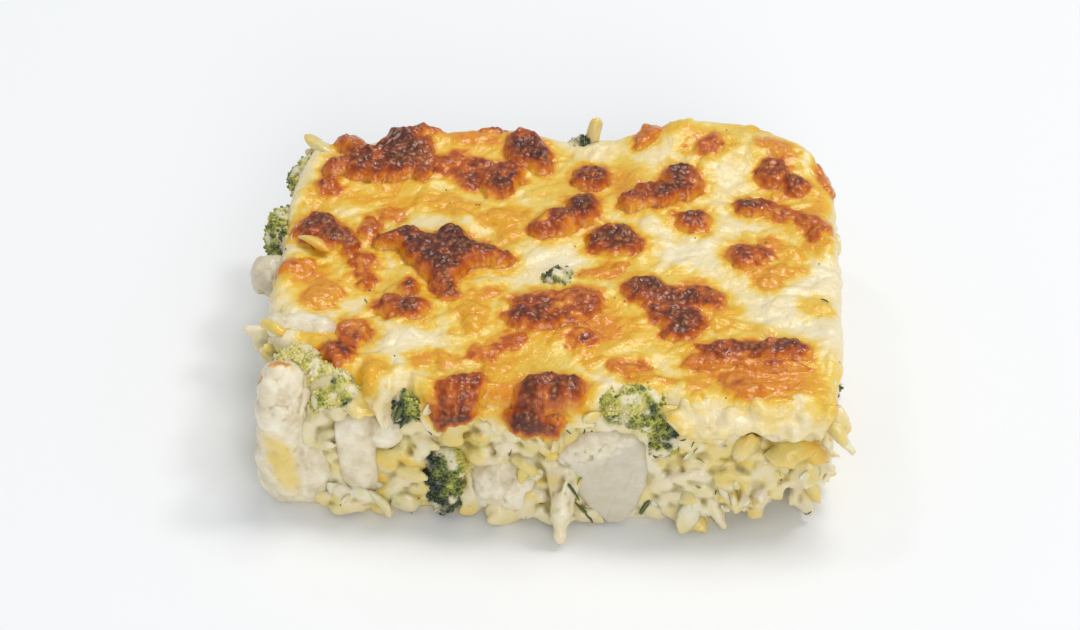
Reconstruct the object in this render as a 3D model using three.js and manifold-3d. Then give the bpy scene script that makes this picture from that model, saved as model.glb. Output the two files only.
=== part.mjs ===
// A cut slice of broccoli cauliflower casserole, in millimetres, +Z up, resting on z = 0.
// A creamy body of small grains holds chunks of cauliflower and florets of broccoli, and a sheet of
// melted cheese with browned blisters covers the top and runs down over the cut sides.
import * as THREE from "three";
import { mergeVertices } from "three/addons/utils/BufferGeometryUtils.js";
import Module from "manifold-3d";

const wasm = await Module();
wasm.setup();

// Driving dimensions.
const HALF_WIDTH = 60;
const HALF_DEPTH = 42.5;
const BACK_SKEW = 0.06; // the back is cut a little off square
const CORNER_ROUNDING = 0.05; // share of the half size that a corner is drawn in
const BACK_RIGHT_ROUNDING = 0.06; // more of the same at one corner
const TOP_HEIGHT = 32.8; // mean height of the cheese
const CHEESE_UNDERSIDE = 27.6;
const EDGE_RADIUS = 4.5; // how gently the cheese turns down at the rim
const CHEESE_SPACING = 4.2; // size of a facet on the cheese
const CORE_HEIGHT = 29;
const CORE_SPACING = 6.6; // size of a facet on the sides
const CORE_INSET = 1.6; // the body starts this far inside the rim of the cheese
const LEAN = { front: 5.5, back: 2, left: 3, right: 0.5 }; // how far each side leans out at its foot
const FOOT_ROUNDING = 2.6;
const FOOT_HEIGHT = 4;
const GAP = 0.35; // between neighbouring pieces
const GRAIN_LENGTH = 8.6;
const GRAIN_WIDTH = 2.9;
const GRAIN_PITCH = 7.4; // spacing of the grains along a side
const GRAIN_ROWS = 5.6; // spacing of the grains up a side

// Colour and roughness.
const LOOKS = {
  filling: [0xe9dcae, 0.45],
  cheese: [0xe6b658, 0.35],
  cauliflower: [0xe6dfc8, 0.4],
  broccoli: [0x5d7a34, 0.6],
};

const clamp = (value, low, high) => Math.min(high, Math.max(low, value));

function smoothstep(low, high, value) {
  const t = clamp((value - low) / (high - low), 0, 1);
  return t * t * (3 - 2 * t);
}

// A repeatable number from 0 to 1 for each point of a whole-number lattice.
function lattice(i, j, k) {
  let h = Math.imul(i, 374761393) ^ Math.imul(j, 668265263) ^ Math.imul(k, 1442695041);
  h = Math.imul(h ^ (h >>> 13), 1274126177);
  h = Math.imul(h ^ (h >>> 15), 2246822519);
  return ((h ^ (h >>> 16)) >>> 0) / 4294967296;
}

// Smooth noise from -1 to 1 through the lattice.
function noise(x, y, z) {
  const [i, j, k] = [Math.floor(x), Math.floor(y), Math.floor(z)];
  const ease = (t) => t * t * (3 - 2 * t);
  const [fx, fy, fz] = [ease(x - i), ease(y - j), ease(z - k)];
  let sum = 0;
  for (let corner = 0; corner < 8; corner++) {
    const [a, b, c] = [corner & 1, (corner >> 1) & 1, corner >> 2];
    const weight = (a ? fx : 1 - fx) * (b ? fy : 1 - fy) * (c ? fz : 1 - fz);
    sum += weight * lattice(i + a, j + b, k + c);
  }
  return 2 * sum - 1;
}

// Repeatable draws for what is scattered.
function seeded(seed) {
  let state = seed;
  return () => {
    state = (state + 0x6d2b79f5) | 0;
    let t = Math.imul(state ^ (state >>> 15), 1 | state);
    t = (t + Math.imul(t ^ (t >>> 7), 61 | t)) ^ t;
    return ((t ^ (t >>> 14)) >>> 0) / 4294967296;
  };
}

// Closed geometry to a solid for cutting and joining, and back.
function toSolid(geometry) {
  const bare = new THREE.BufferGeometry().setAttribute("position", geometry.getAttribute("position"));
  if (geometry.index) bare.setIndex(geometry.index);
  const merged = mergeVertices(bare, 1e-4);
  const corners = [];
  for (let i = 0; i < merged.index.count; i += 3) {
    const [a, b, c] = merged.index.array.slice(i, i + 3);
    if (a !== b && b !== c && c !== a) corners.push(a, b, c); // a facet drawn together to a line is left out
  }
  const mesh = new wasm.Mesh({
    numProp: 3,
    vertProperties: new Float32Array(merged.attributes.position.array),
    triVerts: new Uint32Array(corners),
  });
  return new wasm.Manifold(mesh);
}

function toGeometry(solid) {
  const mesh = solid.getMesh();
  const geometry = new THREE.BufferGeometry();
  geometry.setAttribute("position", new THREE.BufferAttribute(mesh.vertProperties, 3));
  geometry.setIndex(new THREE.BufferAttribute(mesh.triVerts, 1));
  geometry.computeVertexNormals();
  return geometry;
}

const joined = (solids) => solids.reduce((sum, solid) => sum.add(solid));
const largestPiece = (solid) => solid.decompose().sort((a, b) => b.volume() - a.volume())[0];
const meets = (a, b) => !a.intersect(b).isEmpty();

// Moves each vertex of a geometry by a function of its place.
function shaped(geometry, place) {
  const position = geometry.getAttribute("position");
  const point = new THREE.Vector3();
  for (let i = 0; i < position.count; i++) {
    point.fromBufferAttribute(position, i);
    place(point);
    position.setXYZ(i, point.x, point.y, point.z);
  }
  return geometry;
}

// The outline seen from above, as the point at the shares u and v of the half width and half depth.
function planPoint(u, v, inset) {
  const rounding = CORNER_ROUNDING + (u > 0 && v > 0 ? BACK_RIGHT_ROUNDING : 0);
  const x = (HALF_WIDTH - inset) * u * (1 - rounding * v ** 6);
  const y = (HALF_DEPTH - inset) * v * (1 - rounding * u ** 6) + BACK_SKEW * x * Math.max(0, v);
  const edge = Math.max(Math.abs(u), Math.abs(v)) ** 4;
  return [
    x + edge * (1.5 * noise(x / 17, y / 17, 3.5) + 0.6 * noise(x / 6, y / 6, 9.5)),
    y + edge * (1.5 * noise(x / 17, y / 17, 23.5) + 0.6 * noise(x / 6, y / 6, 29.5)),
  ];
}

// Where bare vegetables reach the front edge the cheese draws back: centre along X, half length, depth.
const FRONT_GAPS = [
  [-53.5, 11, 12],
  [-43, 6, 5],
  [-30, 2.6, 2.5],
  [18.5, 9, 2.5],
];

function drawnBack(x) {
  let depth = 0;
  for (const [centre, half, most] of FRONT_GAPS) {
    depth = Math.max(depth, most * (1 - smoothstep(0.5, 1.1, Math.abs(x - centre) / half)));
  }
  return depth;
}

// Strings of cheese that run down the front: centre along X, half width, added reach.
const FRONT_RUNS = [
  [-32, 3.6, 9],
  [-23.5, 3.4, 6],
  [-11, 3.6, 5],
  [-1.5, 6, 4],
  [32.5, 7, 3],
  [48.5, 6, 4],
];

// How far the cheese hangs below its rim at a place on the outline.
function hang(x, y) {
  let reach = 3.4 + 2.4 * noise(x / 7.5, y / 7.5, 71.5);
  if (y > -HALF_DEPTH / 2) return reach;
  for (const [centre, half, more] of FRONT_RUNS) {
    reach += more * (1 - smoothstep(0.2, 1, Math.abs(x - centre) / half));
  }
  return Math.max(1.2, reach * (1 - 0.1 * drawnBack(x)));
}

// Where the rim of the cheese swells out and up at the back: centre along X, half width, reach.
const BACK_SWELLS = [
  [34, 25, 3.6],
  [-22, 26, 2],
];
const SWELL_HEIGHT = 0.6; // of the reach

function backSwell(x, v) {
  let reach = 0;
  for (const [centre, half, most] of BACK_SWELLS) {
    reach += most * (1 - smoothstep(0.4, 1, Math.abs(x - centre) / half));
  }
  return reach * smoothstep(0.55, 1, v);
}

// Browned blisters of the cheese: centre X and Y, half length, half width, turn in degrees, height.
const BLISTERS = [
  [-41.8, 31.4, 12, 6.6, 8, 3.4],
  [-35.7, 41, 5.5, 2.6, 0, 1.8],
  [-18.5, 43, 5.4, 2.6, 0, 1.6],
  [-50.5, 36.5, 3, 3, 0, 1.8],
  [-24.5, 28.4, 6, 4.6, 0, 1],
  [-14, 25.4, 4.8, 5, 0, 2.6],
  [-8, 34.6, 5, 5.6, 0, 3],
  [-53.4, 20.2, 3, 3.2, 0, 1],
  [-51.5, 6.1, 7.2, 4.8, -18, 2.2],
  [-42.8, 7, 3.8, 3.2, 0, 1.8],
  [-25.5, 2.4, 15.6, 5.2, -6, 3.2],
  [-22.8, -7, 3.2, 7, 0, 2.2],
  [-42, -5, 2.8, 4.8, -20, 1],
  [-56.5, -6.5, 3.2, 2.8, 0, 0.9],
  [-50, -16, 4.4, 3.4, 25, 1.2],
  [-32.2, -18, 5.8, 3.8, 0, 1.8],
  [5.4, 26.4, 4.4, 4, 10, 2.4],
  [2, 12.2, 7.2, 5, 32, 2.8],
  [12.2, 5.8, 5.8, 4.6, 0, 1.8],
  [22.8, 22.4, 10, 4.4, 28, 2.8],
  [29.5, 13.4, 3.6, 3.6, 0, 1.8],
  [32, 38.4, 3.8, 2.6, 25, 1.2],
  [48.5, 29, 5.6, 4.8, -15, 1.6],
  [47.3, 16.8, 11, 3.8, -18, 1.8],
  [40.5, 2.8, 5.2, 4.2, 0, 1.6],
  [25.5, -13.6, 12, 6.4, -16, 2],
  [-1.2, -16.6, 10.8, 6.2, 10, 1.8],
  [57.4, 31.5, 2.6, 4.6, 0, 1.4],
  [18.5, 43.6, 2.6, 4, -25, 2],
  [-44, -31, 6.6, 4.8, 15, 1.6],
  [-12.5, -30.6, 4.8, 2.8, 15, 0.8],
  [-18, -40.6, 8.4, 5.4, 18, 2.4],
  [-0.5, -40.4, 7.6, 6.6, 20, 2.6],
  [41.2, -29, 12.4, 4.2, 0, 2],
  [40, -38, 3.4, 3, 0, 0.8],
];

function blister(x, y) {
  let height = 0;
  for (const [centreX, centreY, long, wide, turn, rise] of BLISTERS) {
    const angle = THREE.MathUtils.degToRad(turn);
    const [dx, dy] = [x - centreX, y - centreY];
    const along = (dx * Math.cos(angle) + dy * Math.sin(angle)) / long;
    const across = (dy * Math.cos(angle) - dx * Math.sin(angle)) / wide;
    const reach = Math.hypot(along, across) + 0.18 * noise(x / 3.1, y / 3.1, 41.5);
    height = Math.max(height, rise * (1 - smoothstep(0.25, 1.15, reach)));
  }
  return height;
}

// How far a side of the body stands out at a height, for the lean of that side.
function sideOffset(lean, x, y, z) {
  const foot = clamp(1 - z / FOOT_HEIGHT, 0, 1);
  const undercut = FOOT_ROUNDING * (1 - Math.sqrt(1 - foot * foot));
  return lean * (1 - z / CORE_HEIGHT) - undercut + 1.2 * noise(x / 7, y / 7, z / 7 + 81.5);
}

const leanX = (u) => (u > 0 ? LEAN.right : LEAN.left);
const leanY = (v) => (v > 0 ? LEAN.back : LEAN.front);

// The flat faces of a block need no grid: all their points inside the outermost ring go to the middle.
function withinRing(u, v, nx, ny) {
  return Math.abs(u) < 1 - 3 / nx && Math.abs(v) < 1 - 3 / ny;
}

// The sheet of cheese: a slab with a waved and blistered top, whose rim hangs down over the sides.
// A slab grown by the gap is what its neighbours are cut with.
function makeCheese(grow) {
  const [nx, ny] = [HALF_WIDTH, HALF_DEPTH].map((half) => Math.round((2 * half) / CHEESE_SPACING));
  const slab = new THREE.BoxGeometry(2, 2, 2, nx, ny, 2);
  const signBeyond = (share, limit) => (Math.abs(share) > limit ? Math.sign(share) : 0);
  shaped(slab, (p) => {
    const [u, v, level] = [p.x, p.y, Math.round(p.z)];
    const [planX, planY] = planPoint(u, v, 0);
    const back = v < 0 ? drawnBack(planX) * smoothstep(0.3, 1, -v) : 0;
    const bulge = backSwell(planX, v);
    const [x, y] = [planX, planY + back + bulge];
    const swell = 1.2 * noise(x / 19, y / 19, 51.5) + 0.7 * noise(x / 8, y / 8, 57.5);
    const fromRim = Math.min(HALF_WIDTH * (1 - Math.abs(u)), HALF_DEPTH * (1 - Math.abs(v)));
    const short = EDGE_RADIUS - clamp(fromRim, 0, EDGE_RADIUS);
    const turnDown = EDGE_RADIUS - Math.sqrt(EDGE_RADIUS ** 2 - short ** 2);
    const top = TOP_HEIGHT + swell + SWELL_HEIGHT * bulge + blister(x, y) - 0.7 * turnDown;
    const [sideX, sideY] = [signBeyond(u, 0.999), signBeyond(v, 0.999)];
    if (sideX || sideY) {
      const z = top - { 1: 0, 0: 0.4, "-1": 1 }[level] * hang(x, y);
      const out = (lean) => (level === 1 ? 0 : Math.max(0.6, sideOffset(lean, x, y, z) - 0.5)) + grow;
      const outY = out(back > 3 ? 0 : leanY(v));
      p.set(x + sideX * out(leanX(u)), y + sideY * outY, z + { 1: 1, 0: 0, "-1": -3 }[level] * grow);
    } else if (level === 1) {
      p.set(x, y, top + grow);
    } else if (withinRing(u, v, nx, ny)) {
      p.set(0, 0, CHEESE_UNDERSIDE - grow);
    } else {
      const [ringX, ringY] = [signBeyond(u, 1 - 3 / nx), signBeyond(v, 1 - 3 / ny)];
      p.set(x - 1.5 * grow * ringX, y - 1.5 * grow * ringY, CHEESE_UNDERSIDE - grow);
    }
  });
  return toSolid(slab);
}

// The body before the grains and hollows: a block whose sides lean out and waver.
function makeCore() {
  const counts = [2 * HALF_WIDTH, 2 * HALF_DEPTH, CORE_HEIGHT].map((size) => Math.round(size / CORE_SPACING));
  const block = new THREE.BoxGeometry(2, 2, 2, ...counts);
  shaped(block, (p) => {
    const [u, v] = [p.x, p.y];
    const z = (0.5 + p.z / 2) * CORE_HEIGHT;
    const [x, y] = planPoint(u, v, CORE_INSET);
    const outX = Math.abs(u) > 0.999 ? Math.sign(u) * sideOffset(leanX(u), x, y, z) : 0;
    const outY = Math.abs(v) > 0.999 ? Math.sign(v) * sideOffset(leanY(v), x, y, z) : 0;
    if (withinRing(u, v, counts[0], counts[1])) p.set(0, 0, z);
    else p.set(x + outX, y + outY, z);
  });
  return toSolid(block);
}

// A rounded lump: a ball drawn out to its half sizes, squared off by a power above 2, with bumps.
function makeLump({ at, half, turn = [0, 0, 0], bump = 0, bumpSize = 4, detail = 2, power = 2, seed = 0 }, grow) {
  const ball = new THREE.IcosahedronGeometry(1, detail);
  shaped(ball, (p) => {
    const reach = (Math.abs(p.x) ** power + Math.abs(p.y) ** power + Math.abs(p.z) ** power) ** (1 / power);
    const out = p.clone().divideScalar(reach);
    const surface = new THREE.Vector3(...half).multiply(out);
    const swell = bump * noise(surface.x / bumpSize + seed, surface.y / bumpSize, surface.z / bumpSize);
    p.copy(surface).addScaledVector(out, swell + grow);
  });
  const angles = turn.map(THREE.MathUtils.degToRad);
  ball.applyMatrix4(new THREE.Matrix4().makeRotationFromEuler(new THREE.Euler(...angles)));
  ball.translate(...at);
  return toSolid(ball);
}

// The flat-cut wedge of cauliflower on the front, from its outline as seen from the front.
const WEDGE_OUTLINE = [
  [1.7, 17],
  [4.6, 11],
  [8.7, 5],
  [12.7, 0.9],
  [15.6, 1.2],
  [18.2, 5],
  [20.2, 11],
  [19.7, 20.4],
  [17.2, 22.8],
  [9.6, 24.2],
  [4.6, 20.6],
];
const WEDGE_DEPTH = 9;
const WEDGE_FACE = -46.4; // Y of its cut face at the foot
const WEDGE_LEAN = 0.13; // how much the face falls back for each millimetre up

function makeWedge(grow) {
  const outline = new THREE.Shape(WEDGE_OUTLINE.map(([x, z]) => new THREE.Vector2(x, z)));
  const slab = new THREE.ExtrudeGeometry(outline, {
    depth: WEDGE_DEPTH,
    bevelThickness: 0.6 + grow,
    bevelSize: 0.6 + grow,
    bevelOffset: -0.6,
    bevelSegments: 1,
    curveSegments: 1,
  });
  slab.rotateX(Math.PI / 2);
  slab.translate(0, WEDGE_FACE + WEDGE_DEPTH + 0.6, 0);
  return toSolid(shaped(slab, (p) => (p.y += WEDGE_LEAN * p.z)));
}

// Chunks of cauliflower that show, and the lumps that each is grown from.
const CAULIFLOWER = {
  cauliflower_corner: [
    { at: [-55.2, -38.8, 20.6], half: [4.9, 5.8, 13.6], bump: 0.9, seed: 1, power: 3 },
    { at: [-53, -40.4, 9.4], half: [8.2, 5.8, 8.7], bump: 0.7, seed: 3, power: 2.8 },
  ],
  cauliflower_stalk: [
    { at: [-39.8, -40.2, 14.4], half: [3.9, 5, 10.6], turn: [0, -4, 0], bump: 0.3, seed: 4, power: 6 },
    { at: [-34, -39.6, 20.4], half: [4.4, 4.2, 4.6], bump: 0.6, seed: 5, detail: 1 },
  ],
  cauliflower_floret: [
    { at: [-9.5, -41.6, 8.4], half: [7, 4.8, 6.4], bump: 1.2, bumpSize: 3, seed: 7, power: 2.6 },
  ],
  cauliflower_on_top: [
    { at: [-52.6, -23.4, 32], half: [7.4, 2.9, 2.8], turn: [0, 0, -2], bump: 0.7, bumpSize: 3, seed: 8 },
  ],
  cauliflower_left: [
    { at: [-62, 1.2, 24.6], half: [6, 4.6, 4.2], bump: 0.8, bumpSize: 3, seed: 9 },
  ],
  cauliflower_right: [
    { at: [55, 9, 13.4], half: [6, 8.4, 9.2], bump: 1, seed: 10, power: 2.8, detail: 1 },
  ],
  cauliflower_back_left: [
    { at: [-31, 37, 13], half: [9.4, 6, 10.2], turn: [0, 20, 0], bump: 1.1, seed: 11, power: 3, detail: 1 },
  ],
  cauliflower_back_right: [
    { at: [28, 40.6, 11.4], half: [8.2, 5.6, 8.2], turn: [0, -15, 0], bump: 1.1, seed: 12, power: 2.6, detail: 1 },
  ],
};

// Florets of broccoli that show.
const BROCCOLI = {
  broccoli_top_left: [
    { at: [-51.4, -32.6, 28.2], half: [6.6, 5, 5], turn: [20, 12, 10], bump: 1.4, bumpSize: 3, seed: 21 },
    { at: [-44.8, -37.2, 27.6], half: [6, 4.6, 5], turn: [10, 10, -10], bump: 1.3, bumpSize: 3, seed: 22 },
  ],
  broccoli_front: [
    { at: [-21.7, -41.8, 9.4], half: [4.5, 4.6, 8.3], bump: 1.2, bumpSize: 3, seed: 23, power: 2.4 },
  ],
  broccoli_front_right: [
    { at: [17.3, -39.4, 28.6], half: [7, 4.2, 4.4], turn: [0, 8, 0], bump: 1.2, bumpSize: 3, seed: 24 },
    { at: [23.9, -40.2, 22.4], half: [4, 3.8, 5.8], turn: [0, 14, 0], bump: 1.1, bumpSize: 3, seed: 25, detail: 1 },
  ],
  broccoli_leaf: [
    { at: [-29.1, -40.8, 27.6], half: [2.6, 2.4, 4], turn: [0, 16, 0], bump: 0.6, bumpSize: 2, seed: 26, detail: 1 },
  ],
  broccoli_on_top: [
    { at: [0.5, -4, 31.4], half: [4.2, 2.8, 2.4], bump: 0.8, bumpSize: 2, seed: 27, detail: 1 },
  ],
  broccoli_left_back: [
    { at: [-58.4, 33, 26], half: [4, 5, 5.6], bump: 1.1, bumpSize: 3, seed: 28 },
  ],
  broccoli_left: [
    { at: [-61, 15, 25], half: [5, 6.6, 5.8], bump: 1.2, bumpSize: 3, seed: 29 },
  ],
  broccoli_rim_back: [
    { at: [2.9, 42, 31], half: [3.6, 2.6, 3], bump: 0.8, bumpSize: 2, seed: 30, detail: 1 },
  ],
  broccoli_right: [
    { at: [56, -15, 12.6], half: [5.4, 6.8, 7.6], bump: 1.2, bumpSize: 3, seed: 31, detail: 1 },
  ],
  broccoli_back: [
    { at: [-3.5, 39.8, 12.2], half: [7.4, 5.2, 7.8], bump: 1.3, bumpSize: 3, seed: 32, detail: 1 },
  ],
};

// One cooked grain: a five-sided spindle between two points.
function makeGrain(from, to, width) {
  const profile = [
    [0, 0],
    [0.5, 0.3],
    [0.44, 0.74],
    [0, 1],
  ].map(([radius, along]) => new THREE.Vector2(radius * width, along * from.distanceTo(to)));
  const spindle = new THREE.LatheGeometry(profile, 5);
  const direction = to.clone().sub(from).normalize();
  spindle.applyQuaternion(new THREE.Quaternion().setFromUnitVectors(new THREE.Vector3(0, 1, 0), direction));
  spindle.translate(from.x, from.y, from.z);
  return toSolid(spindle);
}

// Grains spread over the four cut sides, each lying along its side or standing out of it a little.
function scatterGrains(core, rooms) {
  const random = seeded(11);
  const grains = [];
  const sides = [
    { u: null, v: -1 },
    { u: 1, v: null },
    { u: null, v: 1 },
    { u: -1, v: null },
  ];
  for (const { u, v } of sides) {
    const half = u === null ? HALF_WIDTH : HALF_DEPTH;
    const columns = Math.round((2 * half) / GRAIN_PITCH);
    for (let column = 0; column < columns; column++) {
      for (let height = 3; height < CORE_HEIGHT - 3; height += GRAIN_ROWS) {
        const share = clamp((2 * (column + random())) / columns - 1, -0.97, 0.97);
        const z = height + (random() - 0.5) * GRAIN_ROWS;
        const [x, y] = planPoint(u ?? share, v ?? share, CORE_INSET);
        const out = sideOffset(u === null ? leanY(v) : leanX(u), x, y, z) + random() - 0.3;
        const middle = new THREE.Vector3(x + (u ?? 0) * out, y + (v ?? 0) * out, z);
        const slant = (random() - 0.5) * Math.PI;
        const stand = (random() - 0.4) * 1.1;
        const flat = Math.cos(slant);
        const direction = new THREE.Vector3(u === null ? flat : u * stand, v === null ? flat : v * stand, Math.sin(slant));
        direction.setLength(0.5 * GRAIN_LENGTH * (0.8 + 0.35 * random()));
        const width = GRAIN_WIDTH * (0.85 + 0.3 * random());
        middle.z = Math.max(middle.z, Math.abs(direction.z) + 0.3 * width);
        const grain = makeGrain(middle.clone().sub(direction), middle.clone().add(direction), width);
        const sunk = grain.intersect(core).volume() / grain.volume();
        if (sunk > 0.3 && sunk < 0.85 && !rooms.some((room) => meets(grain, room))) grains.push(grain);
      }
    }
  }
  return grains;
}

// Bits that hang from the body: from, to, and the radius at each end.
const STRANDS = [
  [[3.4, -42, 13], [2.7, -53.6, 1.4], 5, 0.9],
  [[33, -41, 11], [37, -47.2, 1], 3.6, 0.9],
  [[43.2, -40, 13.5], [43.4, -44, 1.8], 3, 2],
  [[54.5, -38, 14], [53, -40.4, 1.6], 3, 1.8],
  [[56, -37, 26.5], [62.6, -43, 20.8], 2.6, 0.6],
  [[-57, -19, 26], [-66.4, -19, 27.4], 2.6, 1.1],
  [[-55, 36, 27], [-60.4, 41.4, 31.6], 2.6, 1.2],
];

function makeStrand([start, end, wide, thin]) {
  const [from, to] = [start, end].map((point) => new THREE.Vector3(...point));
  const length = from.distanceTo(to);
  const profile = [
    [0, 0],
    [wide, 0],
    [(wide + thin) / 2.3, 0.5],
    [thin, 0.94],
    [0, 1],
  ].map(([radius, along]) => new THREE.Vector2(radius, along * length));
  const taper = new THREE.LatheGeometry(profile, 6);
  const direction = to.clone().sub(from).normalize();
  taper.applyQuaternion(new THREE.Quaternion().setFromUnitVectors(new THREE.Vector3(0, 1, 0), direction));
  return toSolid(taper.translate(...start));
}

// The hollow under the front right corner, where the body has crumbled away above the floor.
const CORNER_HOLLOW = { at: [50.5, -48, -1], half: [17, 15.5, 13], bump: 0.8 };

function makeFilling(rooms) {
  const core = makeCore().subtract(makeLump(CORNER_HOLLOW, 0));
  const body = joined([core, ...STRANDS.map(makeStrand), ...scatterGrains(core, rooms)]);
  return largestPiece(rooms.reduce((rest, room) => rest.subtract(room), body));
}

const chunks = [{ name: "cauliflower_wedge", solid: makeWedge(0), room: makeWedge(GAP) }];
for (const [name, lumps] of Object.entries({ ...CAULIFLOWER, ...BROCCOLI })) {
  const [solid, room] = [0, GAP].map((grow) => joined(lumps.map((lump) => makeLump(lump, grow))));
  chunks.push({ name, solid, room });
}

// Where two chunks touch, the later one gives way, and the cheese gives way to them all.
chunks.forEach((chunk, index) => {
  for (const earlier of chunks.slice(0, index)) {
    if (meets(chunk.solid, earlier.room)) chunk.solid = chunk.solid.subtract(earlier.room);
  }
  chunk.solid = largestPiece(chunk.solid);
});
const rooms = chunks.map(({ room }) => room);
const cheese = largestPiece(rooms.reduce((rest, room) => rest.subtract(room), makeCheese(0)));
const filling = makeFilling([makeCheese(GAP), ...rooms]);

const casserole = new THREE.Group();
for (const { name, solid } of [{ name: "filling", solid: filling }, { name: "cheese", solid: cheese }, ...chunks]) {
  const [color, roughness] = LOOKS[name.split("_")[0]];
  const mesh = new THREE.Mesh(toGeometry(solid), new THREE.MeshStandardMaterial({ color, roughness, metalness: 0 }));
  mesh.name = name;
  casserole.add(mesh);
}

// The origin is the middle of the foot of the whole.
const bounds = new THREE.Box3().setFromObject(casserole);
const centre = bounds.getCenter(new THREE.Vector3());
casserole.position.set(-centre.x, -centre.y, 0);

export default casserole;
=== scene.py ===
# The looks of a cut slice of broccoli cauliflower casserole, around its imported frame.
# Shapes are worked out in millimetres in the plan of the slice, whose middle is the middle of its
# top, and are moved into the frame, in metres, when a piece is made.
import math
from itertools import product

import bmesh
import bpy
import numpy as np
from mathutils import Matrix, Vector
from mathutils.bvhtree import BVHTree
from mathutils.kdtree import KDTree


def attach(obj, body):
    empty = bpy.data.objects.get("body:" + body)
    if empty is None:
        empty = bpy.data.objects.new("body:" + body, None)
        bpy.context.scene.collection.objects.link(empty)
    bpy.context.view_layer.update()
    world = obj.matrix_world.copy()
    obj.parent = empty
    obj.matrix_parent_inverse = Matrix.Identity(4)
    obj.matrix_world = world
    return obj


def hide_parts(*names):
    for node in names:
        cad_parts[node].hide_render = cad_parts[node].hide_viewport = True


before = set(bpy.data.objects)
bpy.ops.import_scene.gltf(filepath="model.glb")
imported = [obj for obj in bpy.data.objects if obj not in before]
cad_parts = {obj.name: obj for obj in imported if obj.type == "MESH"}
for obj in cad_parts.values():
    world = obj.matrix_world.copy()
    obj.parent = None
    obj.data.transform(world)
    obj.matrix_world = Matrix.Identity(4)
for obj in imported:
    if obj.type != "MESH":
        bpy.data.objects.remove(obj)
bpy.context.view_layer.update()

MM = 0.001
PLAN_ORIGIN = np.array([2.485, 2.098, 0.0])  # the plan's middle in the frame

# Driving dimensions, as the frame's solids have them.
HALF_WIDTH = 60.0
HALF_DEPTH = 42.5
BACK_SKEW = 0.06
CORNER_ROUNDING = 0.05
BACK_RIGHT_ROUNDING = 0.06
TOP_HEIGHT = 32.8
CHEESE_UNDERSIDE = 27.6
EDGE_RADIUS = 4.5
CORE_HEIGHT = 29.0
CORE_INSET = 1.6
LEAN = {"front": 5.5, "back": 2.0, "left": 3.0, "right": 0.5}
FOOT_ROUNDING = 2.6
FOOT_HEIGHT = 4.0
GRAIN_LENGTH = 8.8
GRAIN_WIDTH = 3.2

# How finely the surfaces are drawn.
CHEESE_STEP = 0.37
SKIRT_ROWS = 13
FILLING_VOXEL = 0.5
FILLING_SHARE = 0.45
CHUNK_VOXEL = 0.4

# The camera.
ELEVATION = 42.0
TURN = 3.1
DISTANCE = 529.0
TARGET = (-4.2, 1.4, 16.0)  # in the plan
LENS = 80.0


# Repeatable noise, the same as the solids are shaped with.
def lattice(i, j, k):
    i, j, k = (np.asarray(n).astype(np.int64).astype(np.uint32) for n in (i, j, k))
    h = (i * np.uint32(374761393)) ^ (j * np.uint32(668265263)) ^ (k * np.uint32(1442695041))
    h = (h ^ (h >> np.uint32(13))) * np.uint32(1274126177)
    h = (h ^ (h >> np.uint32(15))) * np.uint32(2246822519)
    return (h ^ (h >> np.uint32(16))) / 4294967296.0


def noise(x, y, z):
    """Smooth noise from -1 to 1 through the lattice."""
    x, y, z = np.broadcast_arrays(*(np.atleast_1d(np.asarray(n, float)) for n in (x, y, z)))
    low = [np.floor(n).astype(np.int64) for n in (x, y, z)]
    share = [n - m for n, m in zip((x, y, z), low)]
    share = [t * t * (3 - 2 * t) for t in share]
    total = np.zeros(x.shape)
    for corner in range(8):
        bits = (corner & 1, corner >> 1 & 1, corner >> 2)
        weight = 1.0
        for bit, t in zip(bits, share):
            weight = weight * (t if bit else 1 - t)
        total += weight * lattice(*(m + bit for m, bit in zip(low, bits)))
    return 2 * total - 1


def noise_at(points, size, shift=0.0):
    """Noise with features of a size at points in space, another one for each shift."""
    x, y, z = points.T / size
    return noise(x, y, z + shift)


def turned_noise(x, y, size, seed, angle=0.6, stretch=1.0):
    """Noise whose grid is turned, and drawn out by stretch along that turn."""
    along = x * math.cos(angle) + y * math.sin(angle)
    across = y * math.cos(angle) - x * math.sin(angle)
    return noise(along / (size * stretch), across / size, seed + 0.5)


def smoothstep(low, high, value):
    t = np.clip((value - low) / (high - low), 0, 1)
    return t * t * (3 - 2 * t)


# The outline seen from above, as the solids have it.
def plan_point(u, v, inset):
    rounding = CORNER_ROUNDING + np.where((u > 0) & (v > 0), BACK_RIGHT_ROUNDING, 0)
    x = (HALF_WIDTH - inset) * u * (1 - rounding * v**6)
    y = (HALF_DEPTH - inset) * v * (1 - rounding * u**6) + BACK_SKEW * x * np.maximum(0, v)
    edge = np.maximum(abs(u), abs(v)) ** 4
    return (
        x + edge * (1.5 * noise(x / 17, y / 17, 3.5) + 0.6 * noise(x / 6, y / 6, 9.5)),
        y + edge * (1.5 * noise(x / 17, y / 17, 23.5) + 0.6 * noise(x / 6, y / 6, 29.5)),
    )


# Where bare vegetables reach the front edge the cheese draws back: centre along X, half length, depth.
FRONT_GAPS = [(-53.5, 11, 12), (-43, 6, 5), (-30, 2.6, 2.5), (18.5, 9, 2.5)]
# Strings of cheese that run down the front: centre along X, half width, added reach.
FRONT_RUNS = [(-32, 3.6, 9), (-23.5, 3.4, 6), (-11, 3.6, 5), (-1.5, 6, 4), (32.5, 7, 3), (48.5, 6, 4)]
# Where the rim of the cheese swells out and up at the back: centre along X, half width, reach.
BACK_SWELLS = [(34, 25, 3.6), (-22, 26, 2)]
SWELL_HEIGHT = 0.6  # of the reach


def back_swell(x, v):
    reach = sum(most * (1 - smoothstep(0.4, 1, abs(x - c) / half)) for c, half, most in BACK_SWELLS)
    return reach * smoothstep(0.55, 1, v)


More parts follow.
